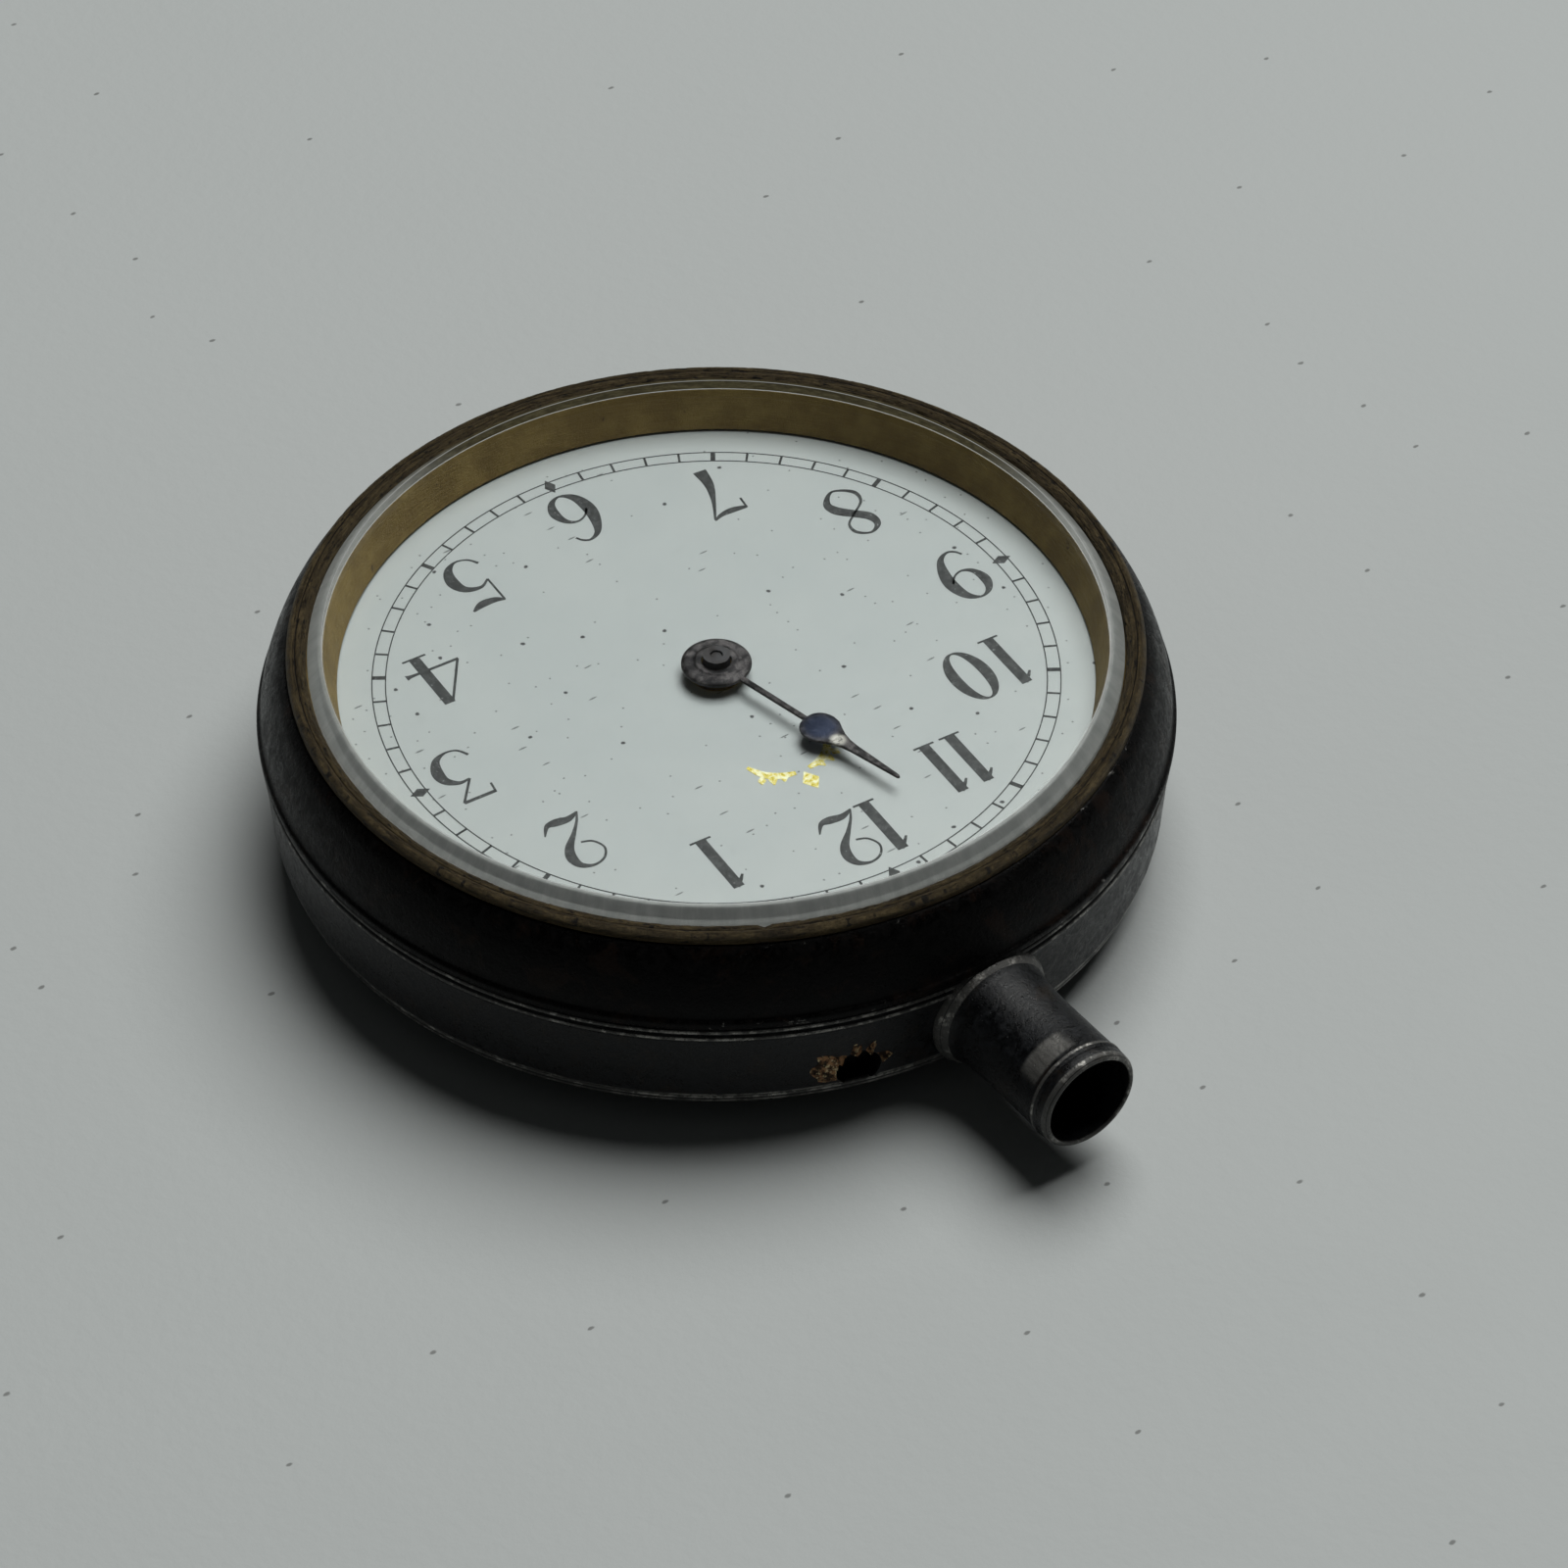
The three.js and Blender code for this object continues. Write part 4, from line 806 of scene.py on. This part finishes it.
FOUR = [
    [(0.12, 0.5, 0.15), (0.12, -0.48, 0.15)],
    [(0.07, 0.48, 0.035), (-0.37, -0.2, 0.035)],
    [(-0.38, -0.2, 0.045), (0.24, -0.2, 0.045), (0.38, -0.2, 0.1)],
    [(-0.05, -0.485), (0.29, -0.485)],
]
FIVE = [
    [(-0.22, 0.49), (-0.08, 0.43, 0.1), (0.1, 0.43, 0.12), (0.26, 0.5)],
    [(-0.21, 0.48), (-0.21, 0.02)],
    [(-0.21, 0.02), (-0.06, 0.12, 0.05), (0.14, 0.06, 0.11), (0.22, -0.13, 0.17),
     (0.17, -0.36, 0.12), (0.01, -0.485, 0.035), (-0.16, -0.45), (-0.26, -0.32, 0.04)],
]
SIX = [
    [(0.22, 0.36), (0.16, 0.45, 0.035), (0.05, 0.485, 0.04), (-0.1, 0.38, 0.09),
     (-0.2, 0.12, 0.16), (-0.225, -0.13, 0.18), (-0.16, -0.37, 0.12), (0, -0.485, 0.035),
     (0.16, -0.4, 0.09), (0.225, -0.2, 0.14), (0.17, 0, 0.08), (0.04, 0.08, 0.035),
     (-0.1, 0.03), (-0.2, -0.1)],
]
SEVEN = [
    [(-0.26, 0.26), (-0.24, 0.47)],
    [(-0.24, 0.45, 0.05), (-0.05, 0.42, 0.1), (0.12, 0.43, 0.07), (0.26, 0.49)],
    [(0.25, 0.47), (0.08, 0.14, 0.06), (-0.04, -0.18, 0.13), (-0.07, -0.49, 0.19)],
]
EIGHT = [
    [(0, 0.05, 0.14), (0.18, -0.13, 0.15), (0.21, -0.31, 0.1), (0.02, -0.485, 0.035),
     (-0.22, -0.34, 0.06), (-0.21, -0.13, 0.04), (0, 0.05), (0.17, 0.2, 0.035),
     (0.17, 0.38, 0.05), (0, 0.485, 0.035), (-0.16, 0.38, 0.09), (-0.15, 0.2, 0.14),
     (0, 0.05, 0.14)],
]
ZERO = [
    [(0.215 * cos(t), 0.48 * sin(t), 0.03 + 0.13 * abs(cos(t)) ** 1.5)
     for t in [i * TAU / 16 for i in range(17)]],
]


def shifted(strokes, across):
    return [[(x + across, *rest) for x, *rest in stroke] for stroke in strokes]


NINE = [[(-x, -y, *width) for x, y, *width in stroke] for stroke in SIX]
NUMERALS = [ONE, TWO, THREE, FOUR, FIVE, SIX, SEVEN, EIGHT, NINE,
            shifted(ONE, -0.36) + shifted(ZERO, 0.2), shifted(ONE, -0.18) + shifted(ONE, 0.2),
            shifted(ONE, -0.34) + shifted(TWO, 0.14)]
# How far out each numeral stands, one to twelve, as a share of the track's outer circle.
NUMERAL_REACH = [0.8, 0.81, 0.842, 0.803, 0.825, 0.817, 0.808, 0.828, 0.844, 0.777, 0.789, 0.797]


def smooth_path(points, steps=7):
    """A Catmull-Rom curve through pen points."""
    if len(points) < 3:
        return points
    path = []
    for i in range(len(points) - 1):
        a, b = points[max(i - 1, 0)], points[i]
        c, d = points[i + 1], points[min(i + 2, len(points) - 1)]
        for step in range(steps):
            t = step / steps
            path.append(tuple(
                0.5 * (2 * q + (r - p) * t + (2 * p - 5 * q + 4 * r - s) * t ** 2
                       + (3 * q - p - 3 * r + s) * t ** 3)
                for p, q, r, s in zip(a, b, c, d)))
    return path + [points[-1]]


def pen(made, path, bottom, top):
    """Adds one stroke as a thin closed solid."""
    rows = []
    for i, (x, y, width) in enumerate(path):
        before, after = path[max(i - 1, 0)], path[min(i + 1, len(path) - 1)]
        along = Vector((after[0] - before[0], after[1] - before[1])).normalized()
        side = Vector((-along.y, along.x)) * width / 2
        rows.append([made.verts.new((x + s * side.x, y + s * side.y, z))
                     for s, z in ((1, bottom), (-1, bottom), (-1, top), (1, top))])
    for a, b in zip(rows, rows[1:]):
        for i in range(4):
            j = (i + 1) % 4
            made.faces.new((a[i], a[j], b[j], b[i]))
    made.faces.new(rows[0])
    made.faces.new(rows[-1])


def dial_plate(material):
    """Enamelled disc, gently domed to its rim, with a turned hole for the pipes."""
    wide, low, top = DIAL_HIGH.x, BEZEL_LOW.z + 0.9, DIAL_HIGH.z
    hole = 1.3
    disc = turned([(hole, low, 0.05), (wide, low, 0.1), (wide, top - 0.3, 0.2), (wide - 0.55, top, 0.5),
                   (hole, top, 0.12)])
    tip = PLATE_LOW.z + 0.3
    feet = [move(turned([(0, tip), (0.5, tip, 0.1), (0.5, low), (0, low)], 32),
                 shift(*spot, 0)) for spot in DIAL_FEET]
    stand_in(to_object("dial_plate", merged(disc, *feet)), "dial", material)


DIAL_FEET = [polar((0, 0), 18.6, angle) for angle in (40, 250)]


def track_strokes():
    """Two circles, sixty ticks, heavier every five and a diamond every fifteen."""
    line, tick, heavy = 0.065, 0.13, 0.26
    diamond, half, point = 0.036 * TRACK, 0.031 * TRACK, 0.02
    inner = 0.9605 * TRACK
    middle = (inner + TRACK) / 2
    strokes = [[(x, y, line) for x, y in arc(0, 0, radius, 0, 360, 240)] for radius in (inner, TRACK)]
    for minute in range(60):
        width = heavy if minute % 5 == 0 else tick
        stops = [(inner, width), (TRACK, width)]
        if minute % 15 == 0:
            stops = [(middle - half, point), (middle, diamond), (middle + half, point)]
        strokes.append([(*polar((0, 0), radius, 90 - 6 * minute), width) for radius, width in stops])
    return strokes


def printed(name, paths, material, first, stack):
    """Strokes on the dial, at a stack of slightly different heights so that none coincide."""
    made = bmesh.new()
    surface = DIAL_HIGH.z
    for layer, path in enumerate(paths, first):
        pen(made, path, surface - 0.01, surface + PRINT + LAYER * (layer % stack))
    move(made, spin(DIAL_TURN))
    fit(to_object(name, made), "case", material)


def dial_print(material):
    paths = track_strokes()
    for number, (strokes, reach) in enumerate(zip(NUMERALS, NUMERAL_REACH), 1):
        x0, y0 = polar((0, 0), reach * TRACK, 90 - 30 * number)
        paths += [[(x0 + x * NUMERAL_HEIGHT, y0 + y * NUMERAL_HEIGHT, w * NUMERAL_HEIGHT)
                   for x, y, w in smooth_path([(*point, HAIRLINE)[:3] for point in stroke])]
                  for stroke in strokes]
    printed("dial_print", paths, material, 1, 7)


def dial_ornament(material):
    """A small gilt sprig under the twelve: a lozenge between two leafy scrolls."""
    centre, size = 0.46 * TRACK, 1.3
    strokes = [[(0, 0.4, 0.03), (0, 0.95, 0.75), (0, 1.5, 0.03)]]
    for side in (-1, 1):
        strokes.append(smooth_path([(side * 0.3, 0.3, 0.2), (side * 0.9, 0.15, 0.36),
                                    (side * 1.45, -0.25, 0.36), (side * 1.8, -0.95, 0.16)]))
        for share, length in ((0.75, 0.5), (1.2, 0.55), (1.6, 0.4)):
            x, y = side * share, 0.22 - 0.25 * share
            strokes.append([(x, y, 0.08), (x + side * 0.09, y + length / 2, 0.36),
                            (x + side * 0.18, y + length, 0.05)])
    strokes = [[(x * size, centre + y * size, width * size) for x, y, width in stroke]
               for stroke in strokes]
    printed("dial_ornament", strokes, material, 0, len(strokes))


def hand_outline():
    """Half of the hand from the stem to the tip, mirrored for the other half."""
    tip, bulb_radius = 12.85, 1.05
    bulb = [(1.06 * sin(t) ** 0.8, BULB - bulb_radius * cos(t)) for t in
            [pi * i / 14 for i in range(1, 8)]]
    taper = [(0.98, BULB + 0.45), (0.74, BULB + 0.85), (0.5, BULB + 1.3), (0.34, BULB + 1.8),
             (0.26, BULB + 2.4), (0.1, tip - 0.1), (0.03, tip)]
    right = [(0.17, 1.4), (0.15, BULB - bulb_radius), *bulb, *taper]
    return right + [(-x, y) for x, y in reversed(right)]


def hour_hand(material):
    """Blade with rounded edges on a turned hub, the pipe's end standing in it."""
    low, top = HAND_LOW.z, HAND_HIGH.z
    blade = plate([hand_outline()], low + 0.02, top, 0.05)
    hub = turned([(1.04, low), (1.85, low, 0.05), (1.85, top - 0.02, 0.07), (1.66, top + 0.07, 0.08),
                  (1.2, top + 0.07, 0.05), (1.1, top + 0.13, 0.05), (0.78, top + 0.13, 0.06),
                  (0.78, top + 0.02), (1.04, top + 0.01)], 96)
    piece = to_object("hour_hand_blade", merged(blade, hub))
    piece.rotation_euler.z = HAND_TURN
    bpy.context.view_layer.update()
    stand_in(piece, "hour_hand", material)


# ---- Movement ----
SLOT_OF = {row["node"]: row["material_slot"] for row in frame["record"]["subparts"]}
SCREWS = sorted(node for node in SLOT_OF if "_screw" in node)


def place_of(node):
    """Where a round node stands, and its lowest and highest points."""
    low, high = box_mm(node)
    return ((low.x + high.x) / 2, (low.y + high.y) / 2), low.z, high.z


CENTRE = (0, 0)
BARREL, CROWN, CLICK, COCK_FOOT, THIRD, FOURTH, ESCAPE, BALANCE = [place_of(node)[0] for node in (
    "barrel_arbor", "crown_wheel_screw", "click_screw", "balance_cock_screw",
    "third_jewel", "fourth_jewel", "escape_jewel", "balance_jewel")]
LEVER = Vector(BALANCE) - Vector(ESCAPE)
LEVER_TURN = atan2(LEVER.y, LEVER.x)
PALLET_SPAN = 4.33                   # escape wheel centre to pallet arbor
PALLET = tuple(Vector(ESCAPE) + LEVER.normalized() * PALLET_SPAN)
SHEET = 0.9                          # thickness of the main plate and the bridges
PLATE_TOP = PLATE_LOW.z + SHEET
BRIDGE_LOW = box_mm("barrel_bridge")[0].z
BRIDGE_TOP = BRIDGE_LOW + SHEET
BRIDGE_RIM = 19
PIVOT_HOLE, SCREW_HOLE = 0.3, 0.47


def stand_at(spot):
    return shift(*spot, 0)


def curve(points, steps=12):
    """Points along joined quadratic curves: a start, then controls and ends in turn."""
    path = [points[0]]
    for control, end in zip(points[1::2], points[2::2]):
        start = path[-1]
        path += [tuple(quadratic(start, control, end, i / steps)) for i in range(1, steps + 1)]
    return path


def capsule(a, b, radius_a, radius_b, steps=24):
    along = degrees(atan2(b[1] - a[1], b[0] - a[0]))
    return (arc(*a, radius_a, along + 90, along + 270, steps)
            + arc(*b, radius_b, along - 90, along + 90, steps))


def sector(inner, outer, start, end, steps=48):
    return arc(0, 0, outer, start, end, steps) + arc(0, 0, inner, end, start, steps)


def main_plate():
    """The dial-side plate, bored for the pivots and screws, with the rim the dial sits in."""
    wide, seat = PLATE_HIGH.x, 19.8
    bores = [circle(*CENTRE, 0.5, 32), circle(*BARREL, 0.75, 32)]
    bores += [circle(*spot, PIVOT_HOLE, 20) for spot in (THIRD, FOURTH, ESCAPE, PALLET, BALANCE)]
    bores += [circle(*place_of(node)[0], SCREW_HOLE, 24) for node in SCREWS
              if place_of(node)[2] > PLATE_LOW.z]
    bores += [circle(x, y, 0.6, 24) for x, y in DIAL_FEET]
    disc = plate([circle(*CENTRE, wide, ROUND), *bores], PLATE_LOW.z, PLATE_TOP, 0.05)
    rim = turned([(seat, PLATE_TOP - 0.05), (wide, PLATE_TOP - 0.05), (wide, PLATE_HIGH.z, 0.06),
                  (seat, PLATE_HIGH.z, 0.06)])
    stand_in(to_object("plate", merged(disc, rim)), "main_plate")


def bridge(node, start, rim, curves, legs, bores):
    """A bridge from its rim arc and inner curves, standing on legs at the rim."""
    outline = [start, *arc(*CENTRE, BRIDGE_RIM, *rim, 100)]
    outline += curve([outline[-1], *curves, start])[1:-1]
    screws = [circle(*place_of(name)[0], SCREW_HOLE, 24) for name in SCREWS if name.startswith(node)]
    top = plate([outline, *bores, *screws], BRIDGE_LOW, BRIDGE_TOP, 0.09)
    feet = [plate([sector(inner, BRIDGE_RIM, first, last)], BRIDGE_TOP - 0.05, PLATE_LOW.z)
            for inner, first, last in legs]
    return to_object(node + "_fine", merged(top, *feet))


def barrel_bridge():
    bores = [circle(*CENTRE, PIVOT_HOLE, 20), circle(*BARREL, 1.3, 40),
             circle(*CROWN, SCREW_HOLE, 24), circle(*CLICK, SCREW_HOLE, 24)]
    curves = [(-8.5, -6.6), (-5, -3.6), (-2.5, -1.6), (0.3, -2.6), (3.4, -2.2), (3.2, 0.8), (2.6, 4.2)]
    legs = [(16.1, 102, 200), (15.5, 62, 74)]
    piece = bridge("barrel_bridge", (5.2, 6.5), (62, 203), curves, legs, bores)
    stem_slot = to_object("stem_slot", slab((-2.1, 14.5, 1.8), (2.1, 19.3, 4.8), 0.02))
    clutch_slot = to_object("clutch_slot", slab((-1.4, 11.6, 3.05), (1.4, 14.8, 4.15), 0.02))
    stand_in(carve(piece, stem_slot, clutch_slot), "barrel_bridge")


def train_bridge():
    bores = [circle(*spot, 0.9, 40) for spot in (THIRD, FOURTH, ESCAPE)]
    curves = [(11.5, 3.6), (7.6, 3.7), (4.4, 3.6), (4.4, 0.6), (5.2, -3.4), (3.6, -6.2), (2.9, -9.6)]
    piece = bridge("train_bridge", (7, -12), (-50, 17), curves, [(14.2, -46, 14)], bores)
    stand_in(piece, "train_bridge")


def balance_cock():
    low, high = box_mm("balance_cock")
    arm_top = low.z + 0.8
    screw_hole = circle(*COCK_FOOT, SCREW_HOLE, 24)
    arm = plate([capsule(BALANCE, COCK_FOOT, 1.5, 2), circle(*BALANCE, 0.9, 40), screw_hole],
                low.z, arm_top, 0.09)
    foot = plate([capsule(COCK_FOOT, polar(COCK_FOOT, 1, 150), 1.7, 1.7), screw_hole],
                 arm_top - 0.05, high.z)
    stand_in(to_object("balance_cock_fine", merged(arm, foot)), "balance_cock")


def screw(node, head_height):
    """A slotted cheese head, head towards the back."""
    spot, low, high = place_of(node)
    head = box_mm(node)[1].x - spot[0]
    shank = 0.7 if head > 1 else 0.42
    neck = low + head_height
    made = turned([(0, low), (head, low, 0.1), (head, neck, 0.03), (shank, neck), (shank, high, 0.05),
                   (0, high)], 48)
    lay = stand_at(spot) @ spin(1.7 * low + 0.9 * spot[0])
    piece = to_object(node + "_fine", move(made, lay))
    slot_cut = move(slab((-2 * head, -0.11, low - 0.3), (2 * head, 0.11, low + 0.2), 0.01), lay)
    stand_in(carve(piece, to_object("slot_cut", slot_cut)), node)


def jewelled(node, first, face, second, slot, other_face, segments=48):
    """Two turned pieces on a node's body, the first in the node's place.

    A face is a profile's stations from the bore to the rim, above the node's foot.
    """
    spot, low, high = place_of(node)
    pieces = []
    for name, stations, steps in ((first, face, 48), (second, other_face, segments)):
        outline = [(radius, low + rise, *edge) for radius, rise, *edge in stations]
        outline += [(stations[-1][0], high), (stations[0][0], high)]
        pieces.append(to_object(name, move(turned(outline, steps), stand_at(spot))))
        if len(pieces) == 1:
            stand_in(pieces[0], node)
    fit(pieces[1], frame["nodes"][node]["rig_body"], FINISHES[slot])


def jewel(node):
    """A dished ruby in a turned brass setting."""
    jewelled(node, node + "_stone", [(0.27, 0.22, 0.04), (0.5, 0.06, 0.08), (0.6, 0.04)],
             node + "_setting", "wheel_brass", [(0.6, 0.02, 0.03), (0.66, 0, 0.03), (0.85, 0, 0.05)])


def cap_jewel():
    """The polished end piece over the balance pivot, with its stone."""
    jewelled("cap_jewel_plate", "cap_plate", [(0.34, 0.12), (0.44, 0, 0.03), (0.98, 0, 0.08)],
             "cap_stone", "ruby", [(0, 0.06, 0), (0.2, 0.08), (0.33, 0.14, 0.04)], 40)


def balance_wheel():
    """Cut two-armed rim with its timing screws."""
    low, high = [corner.z for corner in box_mm("balance_wheel")]
    rim, bore, hub, heads = 5.97, 5.5, 1.1, 6.19
    parts = [plate([sector(bore, rim, start, start + 172, 90)], low + 0.02, high - 0.02)
             for start in (-3, 177)]
    arm = [(-5.6, -0.34), (-hub, -0.5), *arc(0, 0, hub, 207, 333, 16), (hub, -0.5), (5.6, -0.34),
           (5.6, 0.34), (hub, 0.5), *arc(0, 0, hub, 27, 153, 16), (-hub, 0.5), (-5.6, 0.34)]
    parts.append(plate([arm, circle(0, 0, 0.45, 32)], low + 0.06, high - 0.08, 0.03))
    upright = shift(0, 0, (low + high) / 2) @ spin(pi / 2, "Y")
    for i in range(16):
        head = turned([(0, rim - 0.1), (0.19, rim - 0.1), (0.19, heads, 0.05), (0, heads)], 24)
        parts.append(move(head, spin((i + 0.5) * TAU / 16) @ upright))
    lay = stand_at(BALANCE) @ spin(LEVER_TURN + pi / 2)
    stand_in(to_object("balance_rim", move(merged(*parts), lay)), "balance_wheel")


def hairspring():
    """A flat spiral of four turns round the balance staff."""
    _, low, high = place_of("hairspring")
    steps, per_turn = 240, 60
    inner, growth, width = 0.95, 2.55, 0.08
    made = bmesh.new()
    pen(made, [(*polar(BALANCE, inner + growth * i / steps, degrees(LEVER_TURN) + i * 360 / per_turn),
                width) for i in range(steps + 1)], low, high)
    stand_in(to_object("hairspring_coil", made), "hairspring")


def regulator():
    """The index: a ring round the cap jewel with a tapered pointer."""
    _, low, high = place_of("regulator")
    outline = [*arc(0, 0, 1.66, 24, 336, 56), (2.1, -0.34), (2.8, -0.22), (4.3, -0.16), (4.6, 0),
               (4.3, 0.16), (2.8, 0.22), (2.1, 0.34)]
    made = plate([outline, circle(0, 0, 1.06, 48)], low, high, 0.05)
    move(made, stand_at(BALANCE) @ spin(radians(-100)))
    stand_in(to_object("regulator_index", made), "regulator")


def movement():
    """The movement's pieces. Nodes that still show get their sharp edges broken."""
    for build in (main_plate, barrel_bridge, train_bridge, balance_cock, balance_wheel, hairspring,
                  regulator, cap_jewel):
        build()
    for name in ("third", "fourth", "escape", "balance"):
        jewel(f"{name}_jewel")
    for name in SCREWS:
        screw(name, 0.4 if name == "ratchet_screw" else 0.5)
    for node in frame["nodes"].values():
        if not node.hide_render:
            tune(node.modifiers.new("edges", "BEVEL"), width=0.03 * MM, segments=2,
                 limit_method="ANGLE", angle_limit=radians(42))


def movement_finishes():
    """One material for each slot of the movement."""
    return {
        "wheel_brass": metal("wheel_brass", (0.6, 0.44, 0.16), (0.42, 0.28, 0.1), 0.3),
        "polished_steel": metal("polished_steel", (0.52, 0.53, 0.55), (0.38, 0.37, 0.36), 0.22),
        "blued_steel": metal("blued_steel", (0.018, 0.035, 0.15), (0.035, 0.022, 0.09), 0.18),
        "plate_gilt": frosted_gilt(),
        "ruby": ruby(),
    }


def dress_nodes():
    """Materials for the nodes that show as the frame gives them."""
    dark = metal("dark_steel", (0.05, 0.048, 0.05), (0.025, 0.02, 0.018), 0.42)
    for name, node in frame["nodes"].items():
        finish = FINISHES.get(SLOT_OF[name], FINISHES["polished_steel"])
        node.data.materials.clear()
        node.data.materials.append(dark if name in ("cannon_pinion", "centre_pinion") else finish)


# ---- Studio ----
def studio_floor():
    paint = Paint("floor")
    cloud = paint.noise(0.02, 4)
    tone = paint.blend(cloud, (0.435, 0.454, 0.449), (0.48, 0.499, 0.494))
    lint = paint.specks(paint.stretch(paint.place, (0.12, 0.2, 0)), 1.0, 0.028, 0.35)
    material = paint.finish(paint.blend(paint.times(lint, 0.75), tone, (0.1, 0.1, 0.095)),
                            paint.ease(cloud, 0.3, 0.7, 0.6, 0.75),
                            paint.noise(1.2, 5), 0.04)
    made = bmesh.new()
    bmesh.ops.create_grid(made, x_segments=8, y_segments=8, size=2500)
    floor = to_object("floor", made)
    floor.data.materials.append(material)


def direction(azimuth, elevation):
    turn, rise = radians(azimuth), radians(elevation)
    return Vector((cos(rise) * cos(turn), cos(rise) * sin(turn), sin(rise)))


def studio_light():
    """A soft box high behind the watch, aimed at it, and a faint even sky."""
    lamp = placed("key", tune(bpy.data.lights.new("key", "AREA"), shape="DISK", size=1.0, energy=14.5,
                              color=(0.985, 1.0, 0.985)))
    lamp.location = direction(CAMERA["azimuth"] + 152, 64) * 1.2
    lamp.visible_transmission = False
    lamp.rotation_euler = (-lamp.location).to_track_quat("-Z", "Y").to_euler()
    world = bpy.data.worlds.new("studio")
    world.use_nodes = True
    background = world.node_tree.nodes["Background"]
    background.inputs["Color"].default_value = (0.9, 0.95, 0.94, 1)
    background.inputs["Strength"].default_value = 0.03
    bpy.context.scene.world = world


def camera():
    eye = placed("camera", tune(bpy.data.cameras.new("camera"), lens=CAMERA["lens"], sensor_width=36,
                                clip_start=0.01, clip_end=20))
    outwards = direction(CAMERA["azimuth"], CAMERA["elevation"])
    eye.location = (Vector(CAMERA["aim"]) + outwards * CAMERA["distance"]) * MM
    eye.rotation_euler = (-outwards).to_track_quat("-Z", "Y").to_euler()
    bpy.context.scene.camera = eye
    bpy.context.scene.view_settings.view_transform = "Standard"


camera()
studio_floor()
studio_light()
FINISHES = movement_finishes()
dress_nodes()
case_metal = gunmetal("case_gunmetal", (0.002, 0.0022, 0.0026), (0.01, 0.007, 0.005),
                      brown_share=0.06, gloss=0.25, wear=0.15, sheen=0.26)
bezel_metal = gunmetal("bezel_gunmetal", (0.0007, 0.0006, 0.0006), (0.009, 0.005, 0.0035),
                       brown_share=0.08, gloss=0.22, wear=0.0, sheen=0.075)
back_shell(case_metal)
band(case_metal)
pendant(case_metal)
boss_remnant(torn_brass())
bezel(bezel_metal)
glass_lip(lip_brass())
glass(clear_glass())
dial_plate(enamel())
dial_print(ink())
dial_ornament(bright_gilt())
hour_hand(hand_steel())
movement()
